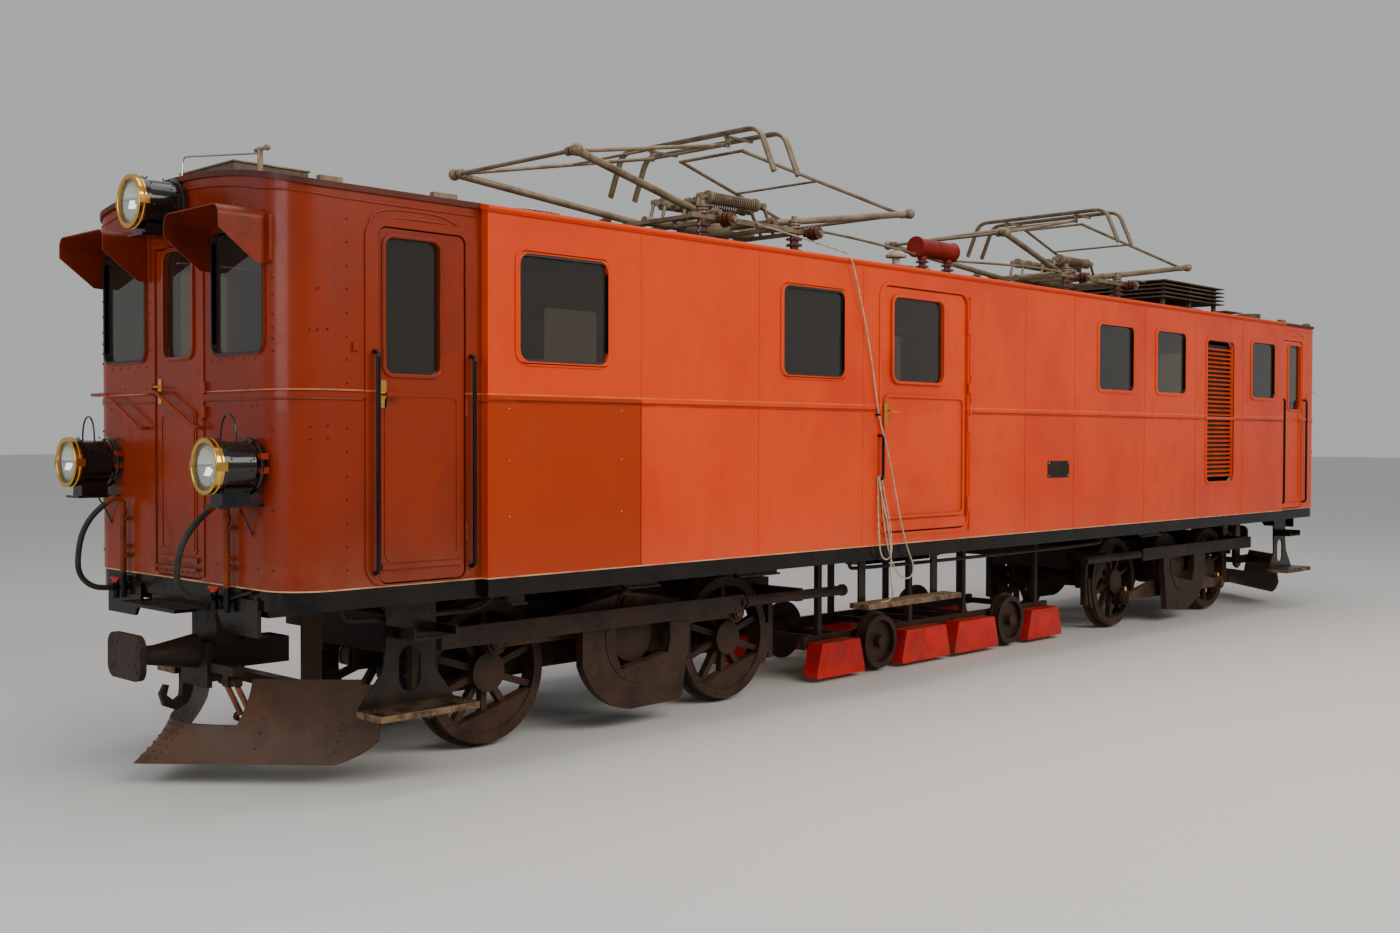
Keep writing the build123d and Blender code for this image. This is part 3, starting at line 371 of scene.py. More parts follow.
# Cords. Each route is the one its solid follows.
HOSE_WIDE = 0.032
HOSE_LENGTHS = (0.663, 0.682)
HOSES = [
    [(-6.745, -0.6, 1.488), (-6.8075, -0.6, 1.438), (-6.855, -0.588, 1.368), (-6.878, -0.563, 1.293),
     (-6.878, -0.521, 1.173), (-6.851, -0.492, 1.107), (-6.801, -0.473, 1.057), (-6.735, -0.465, 1.03),
     (-6.664, -0.465, 1.03)],
    [(-6.745, 0.6, 1.488), (-6.8075, 0.6, 1.438), (-6.855, 0.608, 1.366), (-6.878, 0.627, 1.284),
     (-6.878, 0.664, 1.146), (-6.851, 0.684, 1.077), (-6.801, 0.696, 1.027), (-6.735, 0.7, 1.0),
     (-6.664, 0.7, 1.0)],
]
ROPE_WIDE = 0.011
ROPE_LENGTH = 6.515
ROPE = [
    (-2.452, -0.536, 3.42), (-2.29, -1.208, 3.18), (-2.271, -1.243, 3.144), (-2.24, -1.242, 3.092),
    (-2.192, -1.239, 2.985), (-2.114, -1.233, 2.788), (-2.04, -1.228, 2.58), (-1.984, -1.224, 2.375),
    (-1.938, -1.221, 2.195), (-1.905, -1.22, 2.04), (-1.868, -1.224, 1.935), (-1.808, -1.229, 1.785),
    (-1.748, -1.232, 1.595), (-1.69, -1.235, 1.39), (-1.63, -1.237, 1.2), (-1.572, -1.238, 1.062),
    (-1.518, -1.238, 0.972), (-1.49, -1.238, 0.914), (-1.496, -1.237, 0.868), (-1.532, -1.236, 0.838),
    (-1.582, -1.234, 0.832), (-1.64, -1.231, 0.852), (-1.702, -1.228, 0.905), (-1.757, -1.224, 0.99),
    (-1.8, -1.221, 1.105), (-1.83, -1.218, 1.24), (-1.848, -1.214, 1.37), (-1.858, -1.211, 1.48),
    (-1.862, -1.209, 1.545), (-1.8625, -1.209, 1.5925), (-1.8975, -1.209, 1.5925), (-1.898, -1.21, 1.545),
    (-1.903, -1.215, 1.47), (-1.913, -1.226, 1.35), (-1.919, -1.236, 1.22), (-1.916, -1.24, 1.11),
    (-1.9, -1.241, 1.035), (-1.863, -1.241, 0.993), (-1.812, -1.241, 0.988), (-1.775, -1.241, 1.022),
    (-1.764, -1.24, 1.085), (-1.775, -1.238, 1.2), (-1.805, -1.234, 1.33), (-1.838, -1.229, 1.445),
    (-1.857, -1.225, 1.53), (-1.8625, -1.223, 1.5925), (-1.8975, -1.223, 1.5925), (-1.897, -1.227, 1.535),
    (-1.888, -1.24, 1.45), (-1.865, -1.252, 1.34), (-1.833, -1.257, 1.225), (-1.807, -1.257, 1.11),
    (-1.795, -1.256, 1.0), (-1.796, -1.253, 0.9), (-1.782, -1.248, 0.815), (-1.752, -1.243, 0.757),
    (-1.742, -1.232, 0.713), (-1.762, -1.216, 0.684), (-1.807, -1.205, 0.678), (-1.853, -1.205, 0.678),
]


def make_cord(name, route, wide, length, material, node, **facts):
    piece = finish_pipes(name, [route], wide / 2, material)
    piece.data.bevel_resolution = 3
    piece.data.resolution_u = 8
    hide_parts(node)


def make_cords():
    for index, (route, length) in enumerate(zip(HOSES, HOSE_LENGTHS)):
        for end, points in (("front", route), ("rear", turned(route))):
            make_cord(f"brake_hose_{end}_{index}", points, HOSE_WIDE, length, "hose_rubber", "brake_hoses",
                      far_end="object", stiffness="medium")
    make_cord("collector_rope", ROPE, ROPE_WIDE, ROPE_LENGTH, "rope_fibre", "pull_rope",
              far_end="bare", stiffness="limp")


# Materials. Colours are red, green and blue from 0 to 255.
BROWN, ORANGE, CREAM = (134, 39, 3), (212, 62, 3), (196, 186, 158)
DUST = (110, 84, 62)
# Grime: share on top, the heights it fades between, and share at the foot
DOOR_GRIME = (0.3, 1.0, 1.6, 0.2)
WALL_GRIME = (0.25, 0.9, 1.5, 0.22)


def on_top(share):
    return (share, 0.0, 0.1, 0.0)


# Grain: bumps per metre and their depth
SHEET_GRAIN = (9.0, 0.0012)
# Paint of the long walls and of the cabs: name, colour, second shade
WALL_PAINTS = [("body_orange", (215, 64, 3), (198, 52, 3)), ("cab_brown", (130, 38, 3), (112, 30, 4))]
# Name, colour, second shade, dust, roughness clean and dusty, patches per metre, grime, grain, other inputs
AGED = [
    ("door_brown", BROWN,
     (116, 32, 4), DUST, 0.28, 0.5, 1.1, DOOR_GRIME, SHEET_GRAIN, {"Coat Weight": 0.15}),
    ("door_orange", (217, 66, 4), (198, 54, 4), DUST, 0.35, 0.55, 1.1, DOOR_GRIME, SHEET_GRAIN,
     {"Coat Weight": 0.12}),
    ("rivet_brown", (84, 26, 5), (60, 20, 6), DUST, 0.4, 0.7, 9.0),
    ("roof_paint", (92, 30, 16), (66, 34, 24), (112, 96, 82), 0.45, 0.85, 1.3, on_top(0.75), (30.0, 0.002)),
    ("visor_steel", (122, 36, 4), (92, 27, 6), DUST, 0.35, 0.7, 3.0, on_top(0.2)),
    ("black_steel", (11, 9, 8), (26, 19, 14), (80, 60, 44), 0.2, 0.6, 2.6, (0.55, 0.2, 0.95, 0.3),
     (22.0, 0.002)),
    ("rail_black", (12, 12, 13), (24, 21, 19), (90, 76, 62), 0.16, 0.45, 5.0, (0.3, 0.2, 1.0, 0.3)),
    ("gear_iron", (23, 16, 12), (44, 27, 17), (76, 55, 39), 0.45, 0.9, 3.2, (0.65, 0.2, 1.0, 0.5),
     (40.0, 0.002)),
    ("wheel_iron", (31, 20, 15), (52, 31, 20), (82, 58, 42), 0.45, 0.85, 4.0, (0.5, 0.1, 0.8, 0.4),
     (50.0, 0.0015)),
    ("rod_steel", (62, 46, 36), (88, 64, 46), (112, 90, 70), 0.4, 0.8, 5.0, (0.6, 0.2, 0.8, 0.35),
     (60.0, 0.001), {"Metallic": 0.5}),
    ("plough_steel", (54, 37, 27), (74, 48, 32), (98, 72, 52), 0.38, 0.8, 2.4, (0.5, 0.1, 0.7, 0.4),
     (26.0, 0.003)),
    ("shoe_red", (206, 12, 8), (168, 12, 9), (110, 80, 66), 0.35, 0.75, 6.0, (0.5, 0.0, 0.5, 0.35)),
    ("tank_red", (134, 26, 12), (104, 22, 12), (124, 92, 74), 0.4, 0.75, 5.0, on_top(0.5)),
    ("collector_steel", (136, 120, 98), (104, 88, 70), (160, 144, 120), 0.45, 0.8, 6.0, on_top(0.5),
     (60.0, 0.001), {"Metallic": 0.35}),
    ("resistor_steel", (98, 84, 66), (70, 58, 46), (138, 124, 104), 0.5, 0.85, 4.0, on_top(0.5)),
    ("grille_paint", (214, 68, 4), (180, 54, 6), DUST, 0.4, 0.8, 5.0, on_top(0.25)),
    ("inner_paint", CREAM, (170, 160, 134), DUST, 0.5, 0.8, 2.0),
    ("machine_grey", (92, 94, 92), (74, 74, 72), DUST, 0.5, 0.8, 2.0),
    ("step_wood", (118, 92, 66), (62, 46, 34), (140, 118, 92), 0.65, 0.9, 14.0, on_top(0.4), (80.0, 0.002)),
    ("pipe_brown", (128, 50, 8), (92, 36, 10), DUST, 0.35, 0.7, 8.0),
    ("rust_orange", (146, 84, 50), (98, 62, 42), (128, 104, 82), 0.6, 0.9, 14.0, (0.3, 0.2, 0.8, 0.3),
     (90.0, 0.002)),
    ("lamp_black", (14, 14, 15), (24, 22, 21), (80, 70, 60), 0.15, 0.4, 8.0, on_top(0.2), GRAIN,
     {"Coat Weight": 0.5}),
    ("porcelain", (92, 46, 30), (76, 38, 26), (120, 104, 90), 0.15, 0.5, 9.0, on_top(0.4), GRAIN,
     {"Coat Weight": 0.6}),
    ("hose_rubber", (34, 34, 36), (50, 46, 44), (96, 86, 76), 0.45, 0.75, 12.0, (0.3, 0.8, 1.2, 0.2)),
    ("rope_fibre", (186, 172, 146), (150, 134, 108), (120, 104, 84), 0.8, 0.95, 30.0,
     (0.1, 0.6, 1.2, 0.3), (500.0, 0.001)),
]
# Plain ones: name, colour, roughness, other inputs
PLAIN = [
    ("seal_rubber", (30, 26, 24), 0.5),
    ("rim_brass", (226, 178, 84), 0.16, {"Metallic": 1.0}),
    ("mirror", (236, 236, 230), 0.06, {"Metallic": 1.0}),
    ("bright_steel", (190, 186, 178), 0.25, {"Metallic": 1.0}),
    ("cock_red", (176, 30, 20), 0.35),
    ("bulb", (240, 236, 220), 0.2),
    ("lamp_glass", (240, 242, 238), 0.03, {"Transmission Weight": 0.95, "IOR": 1.45}),
    ("window_glass", (150, 142, 128), 0.02,
     {"Transmission Weight": 0.96, "IOR": 1.45, "Specular IOR Level": 0.3}),
]
# Second colours: material, the limits within which the colour holds, the colour. A limit has what is
# measured, F before it for how far from the middle, and which side of which number it lies.
ABOVE, BELOW = "GREATER_THAN", "LESS_THAN"
REAR_HALF = ("X", ABOVE, 0.0)
BAR_ENDS = 0.04
SECOND_COLOURS = [
    ("cab_brown", [REAR_HALF], ORANGE),
    ("door_brown", [REAR_HALF], ORANGE),
    ("rivet_brown", [REAR_HALF], (150, 50, 6)),
    ("visor_steel", [REAR_HALF], ORANGE),
    ("pipe_brown", [REAR_HALF], ORANGE),
    # The air pipes are black below the body
    ("pipe_brown", [("Z", BELOW, BODY_LOW)], (14, 13, 13)),
    # The bead along the long walls has the body's orange
    ("roof_paint", [("FX", BELOW, CAB_START + 0.015), ("Z", BELOW, GUTTER + 0.012)], (210, 60, 3)),
    # The bars across the ends have the cabs' paint
    ("rail_black", [("X", BELOW, BAR_ENDS - END)], BROWN),
    ("rail_black", [("X", ABOVE, END - BAR_ENDS)], ORANGE),
    # Behind the slats of the grilles, painted shade: a dark colour where the inside lies in shadow
    ("grille_paint", [("FY", BELOW, MAIN_Y - 0.026)], (20, 12, 8)),
]
# Height of the painted highlight along the body's lower edge, a painted reflection of the floor's light
LOWER_HIGHLIGHT = 0.007
# Lines along the walls, each with its foot, its top, its colour and how far it covers the paint:
# a painted reflection of the floor's light along the lower edge, a pale line on the belt that is partly wear
# and partly painted highlight, and painted shade under the belt
WALL_HIGHLIGHTS_AND_SHADE = [
    (BODY_LOW, BODY_LOW + LOWER_HIGHLIGHT, (214, 164, 120), 0.9), (2.104, 2.111, (226, 140, 92), 0.5),
    (2.056, 2.066, (96, 34, 10), 0.6),
]
# The browner sheet low on the side, left of the middle: X and Z of its edges, colour, how far it covers
BROWN_SHEET = ((-5.42, -4.255), (BODY_LOW + LOWER_HIGHLIGHT, 2.1), (148, 44, 3), 0.85)
# How far inside the outline the body's paint gives way to the cream
WALL_SKIN = 0.022


def mask_colour(tree, mask, colour):
    base = tree.nodes["Principled BSDF"].inputs["Base Color"]
    painted = base.links[0].from_socket
    tree.links.new(blend_colour(tree, mask, painted, paint(colour)), base)


def add_second_colours():
    for name, limits, colour in SECOND_COLOURS:
        tree = MATERIALS[name].node_tree
        masks = []
        for measure, way, limit in limits:
            value = split(tree, object_place(tree))[measure[-1]]
            if measure.startswith("F"):
                value = sums(tree, "ABSOLUTE", value)
            masks.append(sums(tree, way, value, limit))
        mask = sums(tree, "MULTIPLY", *masks) if len(masks) == 2 else masks[0]
        mask_colour(tree, mask, colour)


def add_wall_highlights_and_shade(tree):
    # Painted highlights along the lower edge and the belt, and painted shade under the belt
    x, y, z = split(tree, object_place(tree))
    noise = noise_of(tree, put(tree, "ShaderNodeCombineXYZ", {0: x, 1: y})[0], 6.0, 5.0)
    for low, high, colour, share in WALL_HIGHLIGHTS_AND_SHADE:
        cover = between(tree, noise, 0.3, 0.6, share / 3, share)
        mask_colour(tree, sums(tree, "MULTIPLY", band(tree, z, low - 0.001, high), cover), colour)


def add_cream_inside(tree):
    # The body's outline, pulled in a little, parts its paint from the cream inside
    x, y, _ = split(tree, object_place(tree))
    wide_x = sums(tree, "ABSOLUTE", x)
    wide_y = sums(tree, "ABSOLUTE", y)
    in_cab = sums(tree, ABOVE, wide_x, CAB_START - 0.01)
    half = sums(tree, "SUBTRACT", MAIN_Y, sums(tree, "MULTIPLY", in_cab, MAIN_Y - CAB_Y))
    past_x = sums(tree, "MAXIMUM", sums(tree, "SUBTRACT", wide_x, END - CORNER), 0.0)
    past_y = sums(tree, "MAXIMUM", sums(tree, "ADD", sums(tree, "SUBTRACT", wide_y, half), CORNER), 0.0)
    squares = [sums(tree, "MULTIPLY", past, past) for past in (past_x, past_y)]
    reach = sums(tree, "SQRT", sums(tree, "ADD", *squares))
    mask_colour(tree, sums(tree, BELOW, reach, CORNER - WALL_SKIN), CREAM)


def add_brown_sheet(tree):
    x, y, z = split(tree, object_place(tree))
    near = sums(tree, "MULTIPLY", x, sums(tree, "MULTIPLY", sums(tree, "SIGN", y), -1.0))
    (left, right), (low, high), colour, share = BROWN_SHEET
    mask = sums(tree, "MULTIPLY", band(tree, near, left, right), band(tree, z, low, high))
    mask_colour(tree, sums(tree, "MULTIPLY", mask, share), colour)


def make_materials():
    GROUPS["Patches"] = make_patches()
    GROUPS["Settling"] = make_settling()
    for name, colour, shade in WALL_PAINTS:
        aged(name, colour, shade, (150, 110, 80), 0.3, 0.55, 0.9, WALL_GRIME, SHEET_GRAIN,
             {"Coat Weight": 0.12}, stretch=1.6)
    for columns in AGED:
        aged(*columns)
    for name, colour, *rest in PLAIN:
        new_material(name, paint(colour), *rest)
    add_second_colours()
    for name, _, _ in WALL_PAINTS:
        add_cream_inside(MATERIALS[name].node_tree)
        # Painted highlights and painted shade along the walls
        add_wall_highlights_and_shade(MATERIALS[name].node_tree)
    add_brown_sheet(MATERIALS["body_orange"].node_tree)


# Each material's nodes, by how their names start. The first that fits counts.
FINISHES = {
    "black_steel": ("underframe", "skirts", "footsteps"), "body_orange": ("side_wall",),
    "cab_brown": ("cab_shell",), "door_brown": ("cab_door", "gangway_door"), "door_orange": ("side_door",),
    "tank_red": ("roof_tank",), "resistor_steel": ("roof_boxes",), "porcelain": ("roof_insulators",),
    "roof_paint": ("roof",), "inner_paint": ("floor",), "machine_grey": ("machine_room",),
    "window_glass": ("window_glass",), "grille_paint": ("louvre_grilles",), "visor_steel": ("sun_visors",),
    "lamp_black": ("headlights",), "rim_brass": ("headlight_rims",), "lamp_glass": ("headlight_glass",),
    "rail_black": ("handrails",), "plough_steel": ("ploughs",), "pipe_brown": ("air_pipes",),
    "gear_iron": ("draw_gear", "brake_carriage", "bogie"), "shoe_red": ("track_shoes",),
    "wheel_iron": ("wheelset", "small_wheelset", "jackshaft"), "rod_steel": ("coupling_rod",),
    "collector_steel": ("pantograph_bases", "lower_arm", "upper_arm", "contact_bow"),
    "hose_rubber": ("brake_hoses",), "rope_fibre": ("pull_rope",),
}


def finish_of(node):
    for material, starts in FINISHES.items():
        if node.startswith(starts):
            return material
    raise RuntimeError(f"{node} has no finish")


def dress_nodes():
    for name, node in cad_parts.items():
        node.data.materials.clear()
        node.data.materials.append(MATERIALS[finish_of(name)])


# Walls to lie on. U and V run in the wall, W outward.
def on_front(u, v, w):
    return (-END - w, u, v)


def on_main(u, v, w):
    return (u, -MAIN_Y - w, v)


def on_cab(u, v, w):
    return (u, -CAB_Y - w, v)


def rounded(low, high, radius, steps=5):
    (u0, v0), (u1, v1) = low, high
    quarters = [
        (u1 - radius, v1 - radius, 0), (u0 + radius, v1 - radius, 90),
        (u0 + radius, v0 + radius, 180), (u1 - radius, v0 + radius, 270)]
    points = []
    for u, v, start in quarters:
        turns = [radians(90 * index / steps) + radians(start) for index in range(steps + 1)]
        points += [(u + radius * cos(turn), v + radius * sin(turn)) for turn in turns]
    return points


def add_frame(mesh, wall, low, high, radius, width, depth, back=0.0):
    inner = rounded(low, high, radius)
    outer = rounded([value - width for value in low], [value + width for value in high], radius + width)
    loops = ((inner, back), (inner, depth), (outer, depth), (outer, back))
    rings = [[mesh.verts.new(wall(u, v, w)) for u, v in loop] for loop, w in loops]
    for first, second in zip(rings, rings[1:] + rings[:1]):
        for index in range(len(first)):
            mesh.faces.new((first[index - 1], first[index], second[index], second[index - 1]))


def add_panel(mesh, wall, low, high, radius, depth, back=0.0):
    outline = [wall(u, v, back) for u, v in rounded(low, high, radius)]
    add_plate(mesh, outline, Vector(wall(0, 0, depth)) - Vector(wall(0, 0, back)))


def add_slab(mesh, wall, low, high, depth):
    add_box(mesh, wall(*low, 0), wall(*high, depth))


def add_studs(mesh, wall, across, heights, radius, out=0.0):
    # Rivets at every U of one list and every V of another
    centres = [wall(u, v, out) for u in across for v in heights]
    add_rivets(mesh, centres, radius, ALONG if wall is on_front else ACROSS)


def ring_of(centre, radius, count, start):
    # Points round a circle that faces along Y
    x, y, z = centre
    turns = [radians(start + 360 * index / count) for index in range(count)]
    return [(x + radius * cos(turn), y, z + radius * sin(turn)) for turn in turns]


def strike(node, start, way):
    # Where a straight line meets a solid
    hit, place, _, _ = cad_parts[node].ray_cast(Vector(start), Vector(way))
    if not hit:
        raise RuntimeError(f"nothing of {node} lies on the line from {start}")
    return place


def corner_plan(out=0.0, steps=10):
    # From the near side round to the front, in plan
    reach = CORNER + out
    turns = [radians(90 * index / steps) for index in range(steps + 1)]
    x, y = CORNER - END, CORNER - CAB_Y
    return [(x - reach * sin(turn), y - reach * cos(turn)) for turn in turns]


# Openings: their two corners in U and V. The long wall's windows differ only in U.
WINDOW_LOW, WINDOW_HIGH = 2.31, 2.885
MAIN_WINDOWS = [(-5.2, -4.535), (-2.94, -2.285), (1.35, 1.985), (2.455, 3.045), (4.596, 5.172)]
FRONT_WINDOW = ((0.392, 2.305), (0.90, 2.925))
MID_DOOR = ((-1.85, 1.175), (-0.735, 2.985))
GRILLE = ((3.525, 1.445), (4.147, 2.855))
# Kind of door: its wall, the corners of its pane, the radius of the pane's corners, its paint
LEAF_KINDS = {
    "cab": (on_cab, ((-6.04, 2.2), (-5.70, 2.905)), 0.045, "door_brown"),
    "side": (on_main, ((-1.705, 2.29), (-1.064, 2.905)), 0.06, "door_orange"),
    "gangway": (on_front, ((-0.16, 2.305), (0.16, 2.88)), 0.045, "door_brown"),
}
# Doors: name, its mirror in X, Y and Z, kind
LEAVES = [
    ("cab_door_front_near", (1, 1, 1), "cab"), ("cab_door_front_far", (1, -1, 1), "cab"),
    ("cab_door_rear_near", (-1, 1, 1), "cab"), ("cab_door_rear_far", (-1, -1, 1), "cab"),
    ("side_door_near", (1, 1, 1), "side"), ("side_door_far", (-1, -1, 1), "side"),
    ("gangway_door_front", (1, 1, 1), "gangway"), ("gangway_door_rear", (-1, -1, 1), "gangway"),
]
SEAL_BACK = -0.03
PANE_BACK, PANE_FACE = -0.024, -0.019


def make_window_seals(settings):
    wide = settings.seal_width
    rubber, surround = new_meshes(2)
    for left, right in MAIN_WINDOWS:
        add_frame(rubber, on_main, (left, WINDOW_LOW), (right, WINDOW_HIGH), 0.045, wide, 0.005, SEAL_BACK)
        low, high = (left - wide, WINDOW_LOW - wide), (right + wide, WINDOW_HIGH + wide)
        add_frame(surround, on_main, low, high, 0.06, 0.012, 0.009)
    (inner, low), (outer, high) = FRONT_WINDOW
    for left, right in ((-outer, -inner), (inner, outer)):
        add_frame(rubber, on_front, (left, low), (right, high), 0.05, wide * 0.7, 0.012, SEAL_BACK)
    finish_twin("window_seals", rubber, "seal_rubber", sharp=50)
    finish_twin("window_surrounds", surround, "body_orange", sharp=50, bevel=0.003)


def finish_leaf(name, mirror, part, mesh, material, **settings):
    bmesh.ops.scale(mesh, verts=mesh.verts, vec=mirror)
    finish_piece(f"{name}_{part}", mesh, material, body=name, **settings)


def make_door_glass(settings):
    for name, mirror, kind in LEAVES:
        wall, pane, radius, paint_name = LEAF_KINDS[kind]
        glass, seal = new_meshes(2)
        add_panel(glass, wall, *pane, radius, PANE_FACE, PANE_BACK)
        add_frame(seal, wall, *pane, radius, settings.seal_width, 0.013)
        finish_leaf(name, mirror, "glass", glass, "window_glass", sharp=50)
        finish_leaf(name, mirror, "seal", seal, paint_name, sharp=50, bevel=0.005)


def add_cab_leaf(mesh, brass):
    add_frame(mesh, on_cab, (-6.025, 1.235), (-5.59, 2.08), 0.03, 0.022, 0.004)
    add_studs(mesh, on_cab, row(-6.05, -5.57, 9), (1.165, 1.225), FINE, 0.001)
    add_panel(brass, on_cab, (-6.077, 2.02), (-6.035, 2.165), 0.012, 0.004)
    add_rod(brass, on_cab(-6.056, 2.045, 0), on_cab(-6.056, 2.045, 0.007), 0.009)


def add_side_leaf(mesh, brass):
    add_frame(mesh, on_main, (-1.79, 1.30), (-0.795, 2.17), 0.04, 0.02, 0.004)
    add_slab(mesh, on_main, (-1.83, 1.19), (-0.755, 1.265), 0.004)
    add_studs(mesh, on_main, row(-1.81, -0.775, 14), (1.205, 1.25), FINE, 0.004)
    add_panel(brass, on_main, (-1.815, 1.965), (-1.77, 2.125), 0.012, 0.005)
    add_rod(brass, on_main(-1.79, 2.07, 0), on_main(-1.79, 2.07, 0.045), 0.009)
    add_rod(brass, on_main(-1.79, 2.07, 0.042), on_main(-1.685, 2.062, 0.042), 0.008, tip=0.006)


def add_gangway_leaf(mesh, brass):
    add_panel(mesh, on_front, (-0.205, 1.235), (0.205, 2.01), 0.02, 0.005)
    add_frame(mesh, on_front, (-0.18, 1.26), (0.18, 1.985), 0.02, 0.006, 0.009, 0.005)
    add_slab(mesh, on_front, (-0.24, 1.148), (0.24, 1.163), 0.03)
    add_studs(mesh, on_front, row(-0.22, 0.22, 8), [1.132], FINE, 0.001)
    add_studs(mesh, on_front, (-0.225, 0.225), row(1.26, 2.2, 8), 0.005, 0.001)
    add_panel(brass, on_front, (0.195, 2.05), (0.235, 2.19), 0.01, 0.005)
    add_rod(brass, on_front(0.215, 2.145, 0), on_front(0.215, 2.145, 0.04), 0.008)
    add_rod(brass, on_front(0.215, 2.145, 0.036), on_front(0.115, 2.138, 0.036), 0.007, tip=0.005)


LEAF_FITTINGS = {"cab": add_cab_leaf, "side": add_side_leaf, "gangway": add_gangway_leaf}


def make_door_fittings():
    for name, mirror, kind in LEAVES:
        panels, brass = new_meshes(2)
        LEAF_FITTINGS[kind](panels, brass)
        finish_leaf(name, mirror, "panels", panels, LEAF_KINDS[kind][3])
        finish_leaf(name, mirror, "lock", brass, "rim_brass")


# Rivets of the front: Y and heights of columns, height and Y of rows, heights at its rounded edges
FRONT_COLUMNS = [
    (-0.298, (2.676, 2.611, 2.555, 2.497, 2.436, 2.377, 2.231)),
    (0.341, (2.70, 2.623, 2.562, 2.50, 2.431, 2.353)),
]
FRONT_ROWS = [
    (2.267, (-0.368, -0.471, -0.587, -0.714, -0.825)), (2.262, (0.822, 0.714, 0.607, 0.484, 0.381)),
    (2.141, (0.384, 0.655)), (2.028, (0.788, 0.839, -0.788, -0.839)),
    (1.20, (-0.84, -0.7, -0.56, -0.42, 0.42, 0.56, 0.7, 0.84)),
]
EDGE_HEIGHTS = (2.665, 2.576, 2.483, 2.415, 2.36, 2.298, 1.9, 1.5, 1.2)
# Rivets of the cab's sides: X and heights
SIDE_COLUMNS = [
    (-6.27, (2.974, 2.855, 2.737, 2.618, 2.5, 2.38, 2.262, 2.143, 1.913, 1.794, 1.668, 1.549, 1.43, 1.311,
             1.192)),
    (-6.434, (2.613, 2.407)), (-6.48, (2.405, 1.919, 1.858)), (-6.38, (2.41, 1.926, 1.864)),
]


def make_cab_rivets(settings):
    mesh = bmesh.new()
    size = settings.rivet_size
    for y, heights in FRONT_COLUMNS:
        add_studs(mesh, on_front, [y], heights, size)
    for z, across in FRONT_ROWS:
        add_studs(mesh, on_front, across, [z], size)
    edge_x, edge_y = corner_plan()[8]
    for side in SIDES:
        add_rivets(mesh, [(edge_x, side * edge_y, z) for z in EDGE_HEIGHTS], size, ROUND)
        places = [(x, side * CAB_Y, z) for x, heights in SIDE_COLUMNS for z in heights]
        add_rivets(mesh, places, size, ACROSS)
    finish_twin("cab_rivets", mesh, "rivet_brown", sharp=60)


# Beads round the cab door, X and Z: the arc over its window, and its frame
DOOR_ARC = [(-6.111, 2.926), (-6.061, 3.0), (-5.98, 3.012), (-5.7, 3.014), (-5.63, 3.008), (-5.58, 2.965)]
DOOR_LINE = [
    (-6.112, 1.11), (-6.112, 2.2), (-6.112, 2.86), (-6.15, 2.955), (-6.094, 3.046), (-5.86, 3.058),
    (-5.643, 3.05), (-5.51, 2.96), (-5.503, 2.86), (-5.503, 2.0), (-5.503, 1.11),
]
BEAD = 0.007
BEAD_OUT = 0.001


def make_cab_mouldings():
    # Belt of two beads round the cab's corner, the cornice above it, and the beads round the doors
    runs = []
    plan = corner_plan(BEAD_OUT)
    for z in (2.062, 2.108):
        near = [on_cab(-6.183, z, BEAD_OUT), *[(x, y, z) for x, y in plan], on_front(-0.29, z, BEAD_OUT)]
        runs += [near, other_side(near)]
    arch = [on_front(y, 3.202 - 0.105 * (y / 0.99) ** 2, BEAD_OUT) for y in row(-0.89, 0.89, 13)]
    fall = [on_cab(-5.44, 3.076, BEAD_OUT)]
    fall += [(x, y, 3.076 + 0.041 * index / 10) for index, (x, y) in enumerate(plan)]
    runs.append(fall + arch + other_side(fall)[::-1])
    for side in SIDES:
        runs += [[(x, side * (CAB_Y + BEAD_OUT), z) for x, z in line] for line in (DOOR_ARC, DOOR_LINE)]
    finish_pipes("cab_mouldings", with_twins(runs), BEAD, "cab_brown")


def make_cab_strips():
    # Strips round the gangway door and blocks beside it, then hinges and a stop by each cab door
    mesh = bmesh.new()
    for left, right in ((0.268, 0.282), (-0.29, -0.268)):
        add_slab(mesh, on_front, (left, 1.12), (right, 2.93), 0.007)
    add_slab(mesh, on_front, (-0.29, 2.908), (0.282, 2.93), 0.012)
    for y, z in ((0.30, 2.13), (-0.30, 2.13), (-0.30, 2.0)):
        add_slab(mesh, on_front, (y - 0.022, z - 0.03), (y + 0.022, z + 0.03), 0.018)
    for side in SIDES:
        y = side * (CAB_Y + 0.006)
        for z in (1.36, 2.03, 2.72):
            add_rod(mesh, (-5.523, y, z - 0.05), (-5.523, y, z + 0.05), 0.011)
        add_box(mesh, (-6.24, side * CAB_Y, 2.31), (-6.205, side * (CAB_Y + 0.014), 2.35))
    finish_twin("cab_strips", mesh, "door_brown", bevel=0.002)


# The long wall: X of the belt's parts and of the seams; rows of rivets, each with its two ends, count
# and height
BELT_PARTS = ((-5.41, -1.88), (-0.70, 3.49), (4.18, 5.41))
SEAMS = (-4.255, -3.18, -2.06, 0.13, 0.93, 2.22, 3.28, 4.38)
WALL_ROWS = [
    (-5.36, -2.0, 26, BODY_LOW + 0.022), (-0.57, 5.36, 46, BODY_LOW + 0.022),
    (-5.4, -1.9, 21, 3.055), (-0.7, 5.4, 38, 3.055),
]


def add_belt_and_seams(mesh, size):
    for start, stop in BELT_PARTS:
        for low, high in ((2.066, 2.078), (2.094, 2.104)):
            add_slab(mesh, on_main, (start, low), (stop, high), 0.006)
    for x in SEAMS:
        add_slab(mesh, on_main, (x - 0.01, BODY_LOW + 0.012), (x + 0.01, 2.06), 0.003)
        add_slab(mesh, on_main, (x - 0.004, 2.104), (x + 0.004, 3.09), 0.0025)
        add_studs(mesh, on_main, [x], row(BODY_LOW + 0.06, 2.02, 14), size, 0.003)
    for start, stop, count, height in WALL_ROWS:
        add_studs(mesh, on_main, row(start, stop, count), [height], size)


